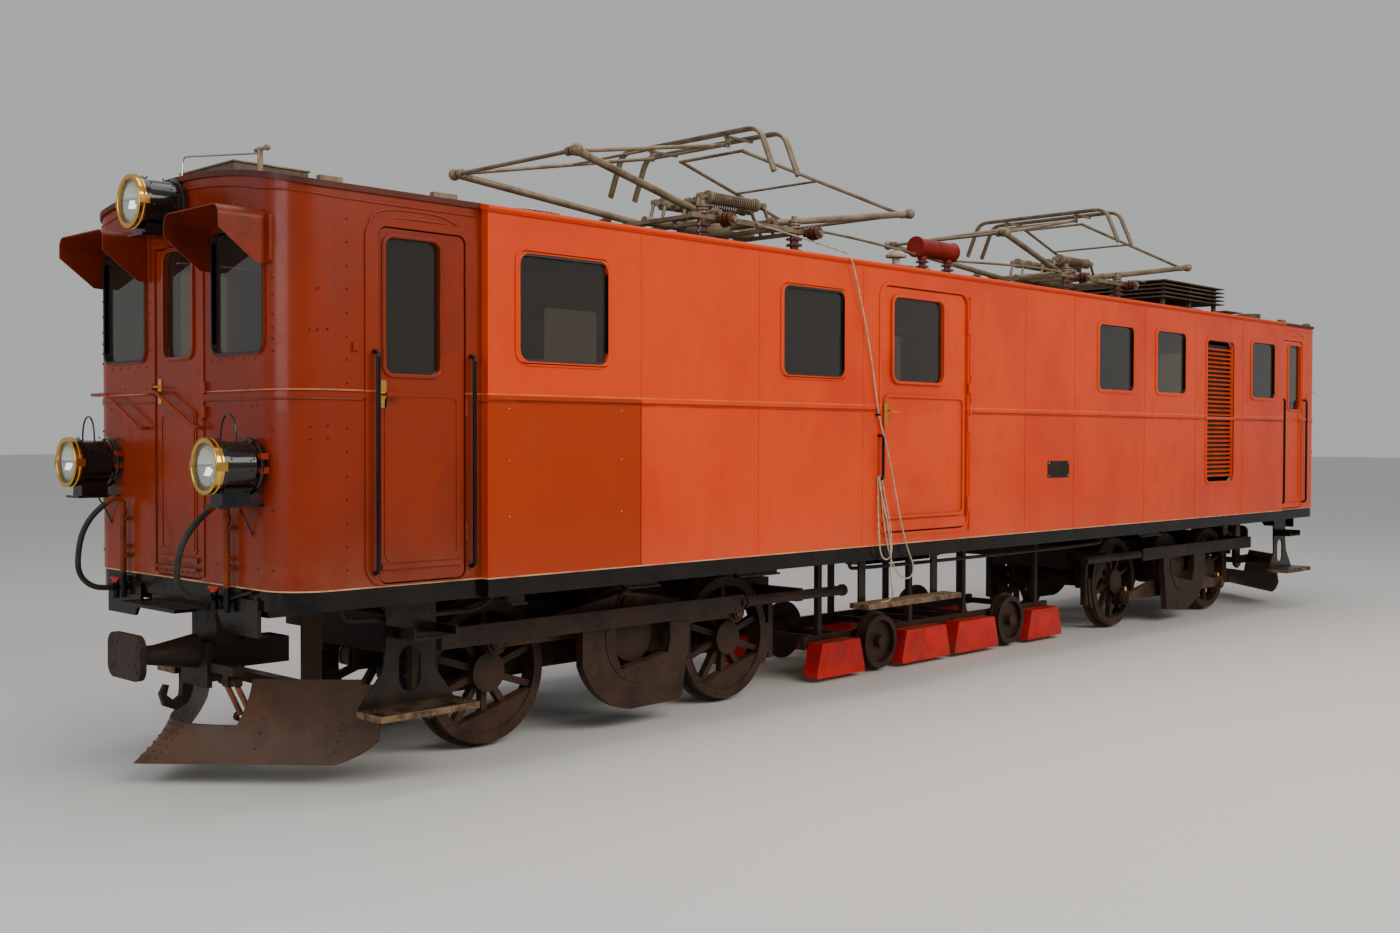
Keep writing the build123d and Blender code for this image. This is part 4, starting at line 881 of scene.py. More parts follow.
def add_grille_frame(mesh, size):
    add_frame(mesh, on_main, *GRILLE, 0.055, 0.034, 0.006)
    (left, low), (right, high) = GRILLE
    out = 0.018
    add_studs(mesh, on_main, row(left + 0.03, right - 0.03, 7), (low - out, high + out), size, 0.006)
    add_studs(mesh, on_main, (left - out, right + out), row(low + 0.05, high - 0.05, 13), size, 0.006)


def add_door_frame(mesh):
    # Frame, hinge strip, catch and hinges of the middle door
    add_frame(mesh, on_main, *MID_DOOR, 0.09, 0.026, 0.007)
    add_slab(mesh, on_main, (-0.715, 1.16), (-0.69, 2.97), 0.016)
    add_slab(mesh, on_main, (-0.735, 2.22), (-0.67, 2.30), 0.024)
    add_rod(mesh, on_main(-0.70, 2.15, 0.02), on_main(-0.70, 2.36, 0.02), 0.01)
    for z in (1.36, 1.98, 2.74):
        add_rod(mesh, on_main(-0.728, z - 0.06, 0.01), on_main(-0.728, z + 0.06, 0.01), 0.012)


def make_side_trim(settings):
    size = settings.rivet_size * SMALL_SHARE
    mesh, plate, screws = new_meshes(3)
    add_belt_and_seams(mesh, size)
    add_door_frame(mesh)
    add_grille_frame(mesh, size)
    add_panel(plate, on_main, (0.487, 1.54), (0.836, 1.68), 0.012, 0.005)
    add_studs(screws, on_main, (0.505, 0.818), (1.556, 1.664), BOLT, 0.005)
    add_studs(screws, on_main, (-5.27, -4.42), (1.43, 1.74, 2.03), 0.005)
    finish_twin("side_trim", mesh, "body_orange")
    finish_twin("blank_plates", plate, "gear_iron")
    finish_twin("plate_screws", screws, "bright_steel", sharp=60)


# Lamps: Y and Z of the middle, and whether it stands low and has a wire handle
LAMPS = [(-0.815, 1.722, True), (0.815, 1.722, True), (0.0, 3.118, False)]
LAMP_FACE = -6.87
# Depth and radius along the mirror
BOWL = [
    (0.022, 0.103), (0.03, 0.098), (0.045, 0.086), (0.062, 0.066), (0.076, 0.042), (0.084, 0.018),
    (0.086, 0.0)]
# Rims: X, radius, thickness, sides of the section
RIMS = [(LAMP_FACE - 0.002, 0.129, 0.007, 8), (LAMP_FACE + 0.018, 0.141, 0.005, 6)]
# From the lamp's middle: Y and Z of the handle, and X of its own, Y and Z of the wire below
HANDLE_X = -6.745
HANDLE = [(-0.08, 0.115), (-0.078, 0.2), (-0.03, 0.262), (0.03, 0.262), (0.078, 0.2), (0.08, 0.115)]
WIRE = [
    (-6.7, 0, -0.138), (-6.7, -0.01, -0.2), (-6.64, 0.05, -0.25), (-6.61, 0.03, -0.33), (-6.6, 0.02, -0.36)]


def add_lugs(mesh, y, z):
    for edge in (y - 0.118, y + 0.118):
        for height in (z - 0.02, z + 0.05):
            add_box(mesh, (-6.645, edge - 0.022, height - 0.016), (-6.60, edge + 0.022, height + 0.016))
            add_rivets(mesh, [(-6.645, edge, height)], 0.009, ALONG)


def add_lamp_brass(mesh, y, z):
    for x, radius, thick, sides in RIMS:
        add_ring(mesh, (x, y, z), ALONG, radius, thick, 40, sides)
    for side in SIDES:
        clip = y + side * 0.139
        low = (LAMP_FACE - 0.006, clip - 0.008, z - 0.022)
        add_box(mesh, low, (LAMP_FACE + 0.045, clip + 0.012, z + 0.022))


def make_lamps():
    bowl, bulb, drum, brass, lugs = new_meshes(5)
    wires = []
    for y, z, low in LAMPS:
        add_lathe(bowl, [(dx, 0, radius) for dx, radius in BOWL], (LAMP_FACE, y, z), ALONG, 32)
        add_ball(bulb, (LAMP_FACE + 0.055, y, z), 0.017)
        add_rod(bulb, (LAMP_FACE + 0.06, y, z), (LAMP_FACE + 0.09, y, z), 0.012)
        for x in (-6.80, -6.68):
            turns = row(0.2, 6.0, 14)
            around = [(x, y + 0.141 * cos(turn), z + 0.141 * sin(turn)) for turn in turns]
            add_rivets(drum, around, FINE, ROUND)
        add_ring(drum, (-6.635, y, z), ALONG, 0.135, 0.011, 32, 6)
        add_lamp_brass(brass, y, z)
        if low:
            add_lugs(lugs, y, z)
            wires.append([(HANDLE_X, y + dy, z + dz) for dy, dz in HANDLE])
            wires.append([(x, y + dy, z + dz) for x, dy, dz in WIRE])
    for name, mesh, material in (
            ("bowls", bowl, "mirror"), ("bulbs", bulb, "bulb"), ("rivets", drum, "lamp_black"),
            ("rims", brass, "rim_brass"), ("lugs", lugs, "cab_brown")):
        finish_twin(f"lamp_{name}", mesh, material, sharp=50)
    finish_pipes("lamp_wires", with_twins(wires), 0.005, "lamp_black")


def roof_height(y):
    # The roof's outer arc: crown in the middle, gutter at the walls
    half = MAIN_Y + 0.014
    rise = CROWN - GUTTER
    radius = (half * half + rise * rise) / (2 * rise)
    return CROWN - radius + sqrt(radius * radius - y * y)


ROOF_SEAMS = (-4.9, -3.6, -1.2, 1.1, 3.45)
CONDUCTORS = [
    [(0.12, -0.43, 3.4), (0.3, -0.43, 3.405), (0.97, -0.44, 3.44), (1.6, -0.48, 3.455), (1.9, -0.5, 3.445)],
    [(-0.25, -0.43, 3.4), (-0.5, -0.43, 3.42), (-1.2, -0.46, 3.45), (-1.7, -0.49, 3.455),
     (-1.9, -0.5, 3.445)],
    [(3.1, -0.5, 3.44), (3.3, -0.5, 3.47), (3.6, -0.45, 3.5), (3.8, -0.4, 3.5)],
]
AERIAL = [
    (-6.5, -0.70, 3.33), (-6.52, -0.3, 3.37), (-6.54, 0.0, 3.40), (-6.545, 0.04, 3.40), (-6.55, 0.05, 3.36),
    (-6.56, 0.03, 3.27)]
# Radius and height along the cap on the roof
CAP = [
    (0.032, -0.01), (0.032, 0.09), (0.085, 0.095), (0.088, 0.112), (0.06, 0.14), (0.02, 0.152), (0.0, 0.153)]
# Tank bands: X, radius and thickness
TANK_Y, TANK_Z = -0.43, 3.47
TANK_BANDS = [(-0.33, 0.083, 0.006), (0.19, 0.08, 0.005), (-0.07, 0.079, 0.003)]
DOWN = (0, 0, -1)


def make_roof_seams(settings):
    mesh = bmesh.new()
    for x in ROOF_SEAMS:
        arc = [(y, roof_height(y) - 0.001) for y in row(-1.16, 1.16, 25)]
        left, right = x - 0.03, x + 0.03
        for (y0, z0), (y1, z1) in zip(arc, arc[1:]):
            outline = [(left, y0, z0), (right, y0, z0), (right, y1, z1), (left, y1, z1)]
            add_plate(mesh, outline, (0, 0, 0.005))
        for u in (x - 0.018, x + 0.018):
            centres = [(u, y, roof_height(y) + 0.004) for y in row(-1.1, 1.1, 23)]
            add_rivets(mesh, centres, settings.rivet_size * SMALL_SHARE, UP)
    finish_piece("roof_seams", mesh, "roof_paint")


def make_roof_brackets():
    # Brackets at the roof's edge over the cab doors, a post near the end, and a sheet on the hatch
    mesh = bmesh.new()
    for x0, x1 in ((-6.40, -6.27), (-5.71, -5.555)):
        for side in SIDES:
            place = strike("roof", ((x0 + x1) / 2, side * 1.09, 3.4), DOWN)
            add_box(mesh, (x0, place.y - 0.02, place.z - 0.012), (x1, place.y + 0.02, place.z + 0.022))
    x, y, z = strike("roof", (-6.5, -0.70, 3.6), DOWN)
    add_rod(mesh, (x, y, z - 0.01), (x, y, z + 0.13), 0.014)
    add_rod(mesh, (x, y + 0.05, z + 0.12), (x, y - 0.07, z + 0.12), 0.01)
    add_ball(mesh, (x, y - 0.07, z + 0.12), 0.017)
    add_box(mesh, (-6.44, -0.31, 3.35), (-5.97, 0.31, 3.36))
    finish_twin("roof_brackets", mesh, "collector_steel", bevel=0.002)


def make_roof_lines():
    finish_pipes("roof_conductor", CONDUCTORS, 0.011, "collector_steel")
    finish_pipes("roof_aerials", with_twins([AERIAL]), 0.005, "bright_steel")


def make_tank_parts():
    cap, red = new_meshes(2)
    place = strike("roof", (-0.62, TANK_Y, 3.6), DOWN)
    add_lathe(cap, [(radius, 0, z) for radius, z in CAP], place, UP, 28)
    finish_piece("roof_cap", cap, "rope_fibre")
    for x in (-0.25, 0.12):
        add_rod(red, (x, TANK_Y, 3.37), (x, TANK_Y, 3.40), 0.04)
    for x, radius, thick in TANK_BANDS:
        add_ring(red, (x, TANK_Y, TANK_Z), ALONG, radius, thick, 28, 6)
    finish_piece("tank_bands", red, "tank_red")


# Collectors: X of each middle. Springs: Y, Z and radius. Then the shaft and the knuckles from the middle.
PANTOGRAPHS = [(-2.5, "front"), (2.5, "rear")]
SPRINGS = [(-0.235, 3.625, 0.04), (0.235, 3.625, 0.04), (-0.11, 3.60, 0.032), (0.11, 3.60, 0.032)]
SPRING_ROD = 0.013
SHAFT_X = 0.3
KNUCKLE = (1.78, 0.638, 3.68)
FOOT_Z = 3.44
STAND_Z = 3.405


def coil(start, stop, radius, turns, per_turn=8):
    start, stop = Vector(start), Vector(stop)
    axis = (stop - start).normalized()
    side = axis.orthogonal().normalized()
    other = axis.cross(side)
    points = []
    for index in range(turns * per_turn + 1):
        turn = 2 * pi * index / per_turn
        middle = start.lerp(stop, index / (turns * per_turn))
        points.append(tuple(middle + (side * cos(turn) + other * sin(turn)) * radius))
    return points


def add_spring_rods(mesh, centre, y, z, radius):
    ends = ((centre - 0.24, -1, (centre - SHAFT_X, y, 3.46)), (centre + 0.44, 1, (centre + 0.57, y, 3.42)))
    for x, away, foot in ends:
        add_rod(mesh, (x - away * 0.10, y, z), (x - away * 0.07, y, z), radius + 0.01)
        add_rod(mesh, (x - away * 0.08, y, z), (x + away * 0.02, y, z), SPRING_ROD)
        add_rod(mesh, (x + away * 0.01, y, z), foot, SPRING_ROD)
        add_rod(mesh, (x, y - 0.022, z), (x, y + 0.022, z), 0.026)


def add_base_parts(mesh, discs, centre):
    # Stacked feet, stands with their discs, and the shafts between the springs
    for x in (centre - 0.5, centre + 0.5):
        for y in (-0.5, 0.5):
            for z in row(FOOT_Z, FOOT_Z + 0.044, 3):
                add_rod(mesh, (x, y, z), (x, y, z + 0.014), 0.046)
            add_rod(mesh, (x, y, FOOT_Z), (x, y, FOOT_Z + 0.09), 0.022)
    for x in (centre - 0.337, centre + 0.62):
        for side in SIDES:
            add_rod(mesh, (x, side * 0.50, STAND_Z), (x, side * 0.668, STAND_Z), 0.02)
            for index in range(3):
                y = side * (0.56 + 0.034 * index)
                radius = 0.056 - 0.005 * index
                add_rod(discs, (x, y, STAND_Z), (x, y + side * 0.018, STAND_Z), radius, sides=24)
    add_rod(mesh, (centre - 0.58, 0, 3.43), (centre + 0.58, 0, 3.43), 0.035)
    add_rod(mesh, (centre - 0.2, 0, 3.44), (centre + 0.28, 0, 3.44), 0.062)


def make_pantograph_springs(settings):
    for centre, end in PANTOGRAPHS:
        parts, discs = new_meshes(2)
        coils = []
        for y, z, radius in SPRINGS:
            ends = (centre - 0.15, y, z), (centre + 0.35, y, z)
            coils.append(coil(*ends, radius, settings.coil_turns))
            add_spring_rods(parts, centre, y, z, radius)
        add_base_parts(parts, discs, centre)
        finish_pipes(f"panto_coils_{end}", coils, 0.0065, "collector_steel")
        finish_piece(f"panto_base_parts_{end}", parts, "collector_steel")
        finish_piece(f"panto_discs_{end}", discs, "porcelain")


# Bars of a contact bow: how far in from its box, half length and level, foot and bend of the horns
BOW_INSET = 0.02
BOW_HALF = 0.70
BOW_LEVEL = 4.068
HORN_FOOT = (0.838, 3.745)
HORN_BEND = 0.12
# How far out the bands begin and end, and half the width of bands and strips
BAND = (0.002, 0.014)
BAND_HALF = 0.026
STRIP_HALF = 0.017


def bow_line(offset):
    # Y and Z along a bar from one horn's foot to the other's, moved outward
    lean = atan2(BOW_LEVEL - HORN_FOOT[1], HORN_FOOT[0] - BOW_HALF)
    middle = BOW_HALF - HORN_BEND * tan(lean / 2)
    reach = HORN_BEND + offset
    turns = [lean * index / 6 for index in range(7)]
    half = [(middle + reach * sin(turn), BOW_LEVEL - HORN_BEND + reach * cos(turn)) for turn in turns]
    half.append((HORN_FOOT[0] + offset * sin(lean), HORN_FOOT[1] + offset * cos(lean)))
    return [(-y, z) for y, z in reversed(half)] + half


def make_pantograph_heads():
    for centre, end in PANTOGRAPHS:
        for way, arm in ((-1, "outer"), (1, "inner")):
            reach = way if end == "front" else -way
            balls = bmesh.new()
            for side in SIDES:
                add_ball(balls, (centre + reach * KNUCKLE[0], side * KNUCKLE[1], KNUCKLE[2]), 0.042)
            lower = f"lower_arm_{arm}_{end}"
            finish_piece(f"panto_knuckles_{arm}_{end}", balls, "collector_steel", lower, 60)
        bow = f"contact_bow_{end}"
        low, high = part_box(bow)
        bands, strips = new_meshes(2)
        for x in (low.x + BOW_INSET, high.x - BOW_INSET):
            outline = bow_line(BAND[1]) + bow_line(BAND[0])[::-1]
            add_plate(bands, [(x - BAND_HALF, y, z) for y, z in outline], (2 * BAND_HALF, 0, 0))
            start = (x - STRIP_HALF, -0.6, BOW_LEVEL + 0.013)
            add_box(strips, start, (x + STRIP_HALF, 0.6, BOW_LEVEL + 0.018))
        finish_piece(f"panto_bands_{end}", bands, "collector_steel", bow)
        finish_piece(f"panto_strips_{end}", strips, "lamp_black", bow)


# Running gear. X of each bogie, and the way its outer end points
BOGIES = [(-3.888, "front", 1), (3.888, "rear", -1)]
AXLE_X, AXLE_Z = 1.06, 0.458
JACK_Z = 0.603
# Outer faces: the bogie's beam, its guard plate, the plate's round part, the tyres and the coupling rods
BEAM_Y, GUARD_Y, GUARD_RING_Y, TYRE_Y, ROD_Y = 0.84, 0.81, 0.816, 0.583, 0.68
# Bolts round the guard plate, X and Z
GUARD_EDGE = [
    (-0.45, 0.62), (-0.45, 0.52), (-0.44, 0.45), (-0.4, 0.37), (-0.33, 0.295), (-0.24, 0.235),
    (-0.15, 0.195), (-0.05, 0.17), (0.06, 0.17), (0.16, 0.172), (0.26, 0.174), (0.345, 0.178),
    (0.365, 0.27), (0.385, 0.37), (0.405, 0.47), (0.42, 0.57),
]
# Caps at the beam's ends: X of both faces and radius
BEAM_CAPS = [(0.98, 1.0, 0.046), (2.06, 2.09, 0.044)]
LEAF_COUNT = 6


def add_leaf_spring(mesh, x, side):
    # Over an axle box, inside the wheel
    for leaf in range(LEAF_COUNT):
        half = 0.36 - 0.05 * leaf
        z = 0.640 + 0.012 * leaf
        add_box(mesh, (x - half, side * 0.387, z), (x + half, side * 0.44, z + 0.01))
    add_box(mesh, (x - 0.035, side * 0.386, 0.63), (x + 0.035, side * 0.445, 0.722))


def make_bogie_parts():
    for centre, end, way in BOGIES:
        bolts, springs = new_meshes(2)
        for side in SIDES:
            along = row(centre - way * 1.5, centre + way * 0.88, 14)
            places = [(x, side * BEAM_Y, z) for x in along for z in (0.692, 0.766)]
            ring = ring_of((centre, side * GUARD_RING_Y, JACK_Z), 0.285, 20, 188)
            places += [point for point in ring if point[2] < 0.66]
            places += [(centre + way * x, side * GUARD_Y, z) for x, z in GUARD_EDGE]
            add_rivets(bolts, places, BOLT, ACROSS)
            for x0, x1, radius in BEAM_CAPS:
                start = (centre + way * x0, side * 0.82, 0.736)
                add_rod(bolts, start, (centre + way * x1, side * 0.82, 0.736), radius)
            for x in (centre - AXLE_X, centre + AXLE_X):
                add_leaf_spring(springs, x, side)
        finish_piece(f"bogie_bolts_{end}", bolts, "gear_iron", f"bogie_{end}", 60)
        finish_piece(f"bogie_springs_{end}", springs, "gear_iron", f"bogie_{end}")


def make_wheel_rings(centre, end, way):
    for name, x in (("outer", centre - way * AXLE_X), ("inner", centre + way * AXLE_X)):
        node = f"wheelset_{name}_{end}"
        mesh = bmesh.new()
        for side in SIDES:
            add_ring(mesh, (x, side * 0.579, AXLE_Z), ACROSS, 0.368, 0.005, 48, 6)
            add_rivets(mesh, ring_of((x, side * TYRE_Y, AXLE_Z), 0.399, 12, 15), BOLT, ACROSS)
        finish_piece(f"{node}_rings", mesh, "wheel_iron", node, 60)


EYE = 0.072
JACK_EYE = 0.084
# Steps of a pin's end: from, to, radius, sides. Steps of an oil cup over the eye: from, to, radius.
PIN_STEPS = [(0.0, 0.012, 0.058, 24), (0.012, 0.03, 0.034, 6)]
CUP_STEPS = [(-0.004, 0.03, 0.016), (0.03, 0.038, 0.01)]
CUP_Y = 0.653


def add_pin_end(nuts, cups, x, z, side):
    for start, stop, radius, sides in PIN_STEPS:
        add_rod(nuts, (x, side * (ROD_Y + start), z), (x, side * (ROD_Y + stop), z), radius, sides=sides)
    add_ring(nuts, (x, side * ROD_Y, z), ACROSS, 0.064, 0.005, 28, 6)
    for start, stop, radius in CUP_STEPS:
        add_rod(cups, (x, side * CUP_Y, z + EYE + start), (x, side * CUP_Y, z + EYE + stop), radius)


def make_rod_parts(end):
    for side, name in ((-1, "near"), (1, "far")):
        node = f"coupling_rod_{name}_{end}"
        low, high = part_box(node)
        pins = [(low.x + EYE, low.z + EYE), (high.x - EYE, low.z + EYE)]
        middle = ((low.x + high.x) / 2, high.z - JACK_EYE)
        nuts, cups = new_meshes(2)
        for x, z in pins:
            add_pin_end(nuts, cups, x, z, side)
        add_ring(nuts, (middle[0], side * ROD_Y, middle[1]), ACROSS, 0.078, 0.005, 28, 6)
        for (x0, z0), (x1, z1) in ((pins[0], middle), (middle, pins[1])):
            places = [(x0 + (x1 - x0) * share, side * (ROD_Y - 0.006), z0 + (z1 - z0) * share * 0.6)
                      for share in row(0.3, 0.7, 3)]
            add_rivets(nuts, places, BOLT, ACROSS)
        finish_piece(f"{node}_nuts", nuts, "rod_steel", node)
        finish_piece(f"{node}_cups", cups, "rim_brass", node)


def make_wheel_parts():
    for centre, end, way in BOGIES:
        make_wheel_rings(centre, end, way)
        make_rod_parts(end)


# Plough rivets: Y of each column, and their heights. Rivets of the end plate: Y and Z.
PLOUGH_COLUMNS = [
    (0.79, (0.52, 0.45, 0.39, 0.34, 0.30, 0.24, 0.19)), (0.46, (0.52, 0.44, 0.36, 0.28, 0.20)),
    (0.035, (0.30, 0.27, 0.24, 0.21, 0.18, 0.15)), (0.075, (0.295, 0.265, 0.235, 0.205, 0.175, 0.15)),
]
PLATE_RIVETS = ((0.822, 1.044), (0.831, 0.986), (0.80, 1.02))
# Screw coupling: the lever's and the screw's pins, and the thread between its links
LEVER_PIN, SCREW_PIN = Vector((-6.455, -0.28, 0.545)), Vector((-6.352, -0.28, 0.33))
THREAD_START, THREAD_STEP, THREAD_TURNS = -0.335, 0.01, 12
STRAP = [(-6.61, -0.476, 0.99), (-6.63, -0.53, 1.0), (-6.63, -0.688, 1.059), (-6.61, -0.806, 1.077)]
# Under the skirts: X of both ends and foot of each bracket, and the pipes
SKIRT_BRACKETS = [(-5.25, -5.13, 0.93), (-4.36, -4.08, 0.955), (-3.35, -2.95, 0.955), (2.2, 2.6, 0.955)]
SKIRT_PIPES = [
    [(-6.2, -0.98, 0.985), (-6.2, -0.98, 0.93), (-6.15, -0.98, 0.9), (-5.5, -0.96, 0.895),
     (-5.3, -0.96, 0.9), (-5.2, -0.96, 0.96), (-5.2, -0.96, 0.985)],
    [(-1.95, -0.99, 0.985), (-1.95, -0.99, 0.93), (-1.9, -0.99, 0.905), (1.7, -0.99, 0.905),
     (1.8, -0.99, 0.93), (1.8, -0.99, 0.985)],
]


def add_coupling(links, plates, thread):
    for shift in (-0.06, 0.06):
        across = Vector((0, shift, 0))
        add_rod(links, LEVER_PIN + across, SCREW_PIN + across, 0.0155, sides=12)
        add_rod(plates, LEVER_PIN + across * 1.35, LEVER_PIN + across * 1.55, 0.026, sides=6)
    for index in range(THREAD_TURNS):
        place = (SCREW_PIN.x, THREAD_START + THREAD_STEP * index, SCREW_PIN.z)
        add_ring(thread, place, ACROSS, 0.0175, 0.003, 16, 6)


def make_end_gear(settings):
    rivets, plates, links, thread = new_meshes(4)
    for side in SIDES:
        for y, heights in PLOUGH_COLUMNS:
            places = [strike("ploughs", (-7.2, side * y, z), ALONG) for z in heights]
            add_rivets(rivets, places, settings.rivet_size, ROUND)
        add_rivets(plates, [(-6.606, side * y, z) for y, z in PLATE_RIVETS], BIG_BOLT, ALONG)
    # Bolts of the buffer plate
    add_rivets(plates, [(-6.915, y, z) for y in (-0.15, 0.15) for z in (0.635, 0.765)], 0.013, ALONG)
    add_coupling(links, plates, thread)
    for name, mesh, material in (
            ("plough_rivets", rivets, "plough_steel"), ("end_bolts", plates, "gear_iron"),
            ("coupling_links", links, "rust_orange"), ("coupling_thread", thread, "bright_steel")):
        finish_twin(name, mesh, material, sharp=50)
    finish_pipes("end_straps", with_twins([STRAP]), 0.009, "black_steel")


def make_skirt_parts():
    mesh = bmesh.new()
    for x0, x1, low in SKIRT_BRACKETS:
        add_box(mesh, (x0, -1.16, low), (x1, -1.13, 1.0))
        add_box(mesh, (x0, -1.19, low), (x1, -1.13, low + 0.012))
    finish_twin("skirt_brackets", mesh, "black_steel", bevel=0.002)
    finish_pipes("skirt_pipes", with_twins(SKIRT_PIPES), 0.014, "gear_iron")


# Air pipes: Y, and Y and Z of the cock below. Heights of the clips that hold them.
AIR_PIPES = [(-0.6, -0.465, 1.03), (0.6, 0.7, 1.0)]
CLIP_HEIGHTS = (1.19, 1.40)


def make_air_cocks():
    clips, heads = new_meshes(2)
    for y, cock_y, cock_z in AIR_PIPES:
        add_rod(heads, (-6.64, cock_y, cock_z + 0.03), (-6.64, cock_y, cock_z + 0.055), 0.022, sides=20)
        add_box(heads, (-6.652, cock_y - 0.05, cock_z + 0.046), (-6.628, cock_y + 0.05, cock_z + 0.058))
        for z in CLIP_HEIGHTS:
            add_box(clips, (-6.64, y - 0.035, z - 0.01), (-6.60, y + 0.035, z + 0.01))
            add_rivets(clips, [(-6.64, y + side * 0.026, z) for side in SIDES], BOLT, ALONG)
    finish_twin("pipe_clips", clips, "pipe_brown")
    finish_twin("cock_heads", heads, "cock_red")


# Steps: top of the cab steps' boards, of the sheets on them, and of the middle doors' boards
STEP_TOP, SHEET_TOP, MID_STEP_TOP = 0.437, 0.4435, 0.676


def make_steps():
    wood, tops = new_meshes(2)
    for side in SIDES:
        add_box(wood, (-6.138, side * 1.012, 0.401), (-5.507, side * 1.243, STEP_TOP))
        add_box(tops, (-6.13, side * 1.016, STEP_TOP), (-5.515, side * 1.237, SHEET_TOP))
        screws = [(x, side * y, 0.444) for x in (-6.08, -5.57) for y in (1.10, 1.19)]
        add_rivets(tops, screws, 0.01, UP)
        bolts = [(x, side * 1.024, z) for x in (-5.935, -5.665) for z in (0.80, 0.87, 0.93)]
        add_rivets(tops, bolts, 0.01, ACROSS)
    add_box(wood, (-2.033, -1.238, 0.637), (-0.852, -1.062, MID_STEP_TOP))
    finish_twin("step_boards", wood, "step_wood", bevel=0.004)
    add_twin(tops)
    screws = [(x, y, MID_STEP_TOP) for x in (-1.95, -0.93) for y in (-1.10, -1.19)]
    add_rivets(tops, screws + turned(screws), 0.01, UP)
    finish_piece("step_tops", tops, "black_steel")


# In the cab: boxes of the desk, its top, the seat and its back, then gauges and the brake wheel
CAB_BOXES = [
    ((-6.50, -0.92, 1.13), (-6.12, -0.30, 1.92)), ((-6.52, -0.94, 1.92), (-6.08, -0.28, 1.94)),
    ((-5.75, -0.50, 1.13), (-5.45, -0.16, 1.55)), ((-5.44, -0.50, 1.55), (-5.38, -0.16, 2.0)),
]
GAUGES = ((-6.44, -0.45), (-6.44, -0.62), (-6.44, -0.78))
BRAKE_WHEEL = Vector((-6.25, -0.6, 2.02))
BRAKE_RADIUS = 0.16


def make_cab_inside():
    desk, wheel = new_meshes(2)
    for low, high in CAB_BOXES:
        add_box(desk, low, high)
    for x, y in GAUGES:
        add_rod(desk, (x, y, 1.94), (x + 0.02, y, 2.08), 0.045, sides=20)
    add_ring(wheel, BRAKE_WHEEL, UP, BRAKE_RADIUS, 0.011, 32, 8)
    add_rod(wheel, (-6.25, -0.6, 1.93), BRAKE_WHEEL, 0.018)
    for turn in (0, 60, 120):
        reach = Vector((cos(radians(turn)), sin(radians(turn)), 0)) * BRAKE_RADIUS
        add_rod(wheel, BRAKE_WHEEL - reach, BRAKE_WHEEL + reach, 0.007, sides=8)
    finish_twin("cab_desks", desk, "machine_grey", bevel=0.006)
    finish_twin("cab_wheels", wheel, "rim_brass", sharp=50)


# Stage. Lights: name, place, target, size, power, colour
LIGHTS = [
    ("key", (-3, -13, 9), (-1, 0, 1.4), (14, 6), 1700, (1, 0.95, 0.87)),
    ("front", (-15, -1, 5), (-6, 0, 1.8), (5, 6), 350, (1, 1, 1)),
    ("top", (0, 0, 12), (0, 0, 0), (14, 8), 700, (1, 1, 1)),
]


def add_light(name, place, target, size, power, colour):
    data = bpy.data.lights.new(name, "AREA")
    data.shape = "RECTANGLE"
    data.size, data.size_y = size
    data.energy = power
    data.color = colour
    light = new_object(name, data)
    light.location = place
    light.rotation_euler = (Vector(target) - Vector(place)).to_track_quat("-Z", "Y").to_euler()


def make_stage():
    floor = bmesh.new()
    bmesh.ops.create_grid(floor, x_segments=1, y_segments=1, size=150)
    data = bpy.data.meshes.new("floor")
    floor.to_mesh(data)
    floor.free()
    ground = new_object("floor", data)
    new_material("floor_pale", (0.62, 0.61, 0.59, 1), 0.8)
    data.materials.append(MATERIALS["floor_pale"])
    world = bpy.data.worlds.new("studio")
    bpy.context.scene.world = world
    world.use_nodes = True
    fill(world.node_tree, world.node_tree.nodes["Background"],
         {"Color": (0.86, 0.87, 0.88, 1), "Strength": 0.55})
    for columns in LIGHTS:
        add_light(*columns)


# The pieces as operators, in the order they are made
class LocomotiveSettings(bpy.types.PropertyGroup):
    rivet_size: bpy.props.FloatProperty(
        name="Rivet size", description="Radius of a small rivet's head", default=0.0075, unit="LENGTH")
    seal_width: bpy.props.FloatProperty(
        name="Seal width", description="Width of the rubber round a window", default=0.02, unit="LENGTH")
    coil_turns: bpy.props.IntProperty(
        name="Coil turns", description="Turns of each spring on a collector's base", default=20)


class LOCO_OT_materials(bpy.types.Operator):
    """Make every material and dress the solids in them"""
    bl_idname = "loco.materials"
    bl_label = "Materials"

    def execute(self, context):
        make_materials()
        dress_nodes()
        return {"FINISHED"}


class LOCO_OT_camera(bpy.types.Operator):
    """Stand the camera where the photograph was taken"""
    bl_idname = "loco.camera"
    bl_label = "Camera"

    def execute(self, context):
        make_camera()
        return {"FINISHED"}


class LOCO_OT_cords(bpy.types.Operator):
    """Lay the brake hoses and the collector rope"""
    bl_idname = "loco.cords"
    bl_label = "Cords"

    def execute(self, context):
        make_cords()
        return {"FINISHED"}


class LOCO_OT_doors(bpy.types.Operator):
    """Glaze the eight doors and fit their panels and locks"""
    bl_idname = "loco.doors"
    bl_label = "Doors"

    def execute(self, context):
        make_door_glass(context.scene.loco)
        make_door_fittings()
        return {"FINISHED"}


class LOCO_OT_windows(bpy.types.Operator):
    """Set seals and surrounds round the fixed windows"""
    bl_idname = "loco.windows"
    bl_label = "Windows"

    def execute(self, context):
        make_window_seals(context.scene.loco)
        return {"FINISHED"}


class LOCO_OT_cabs(bpy.types.Operator):
    """Rivet the cabs and add their mouldings, hinges and desks"""
    bl_idname = "loco.cabs"
    bl_label = "Cabs"

    def execute(self, context):
        make_cab_rivets(context.scene.loco)
        make_cab_mouldings()
        make_cab_strips()
        make_cab_inside()
        return {"FINISHED"}


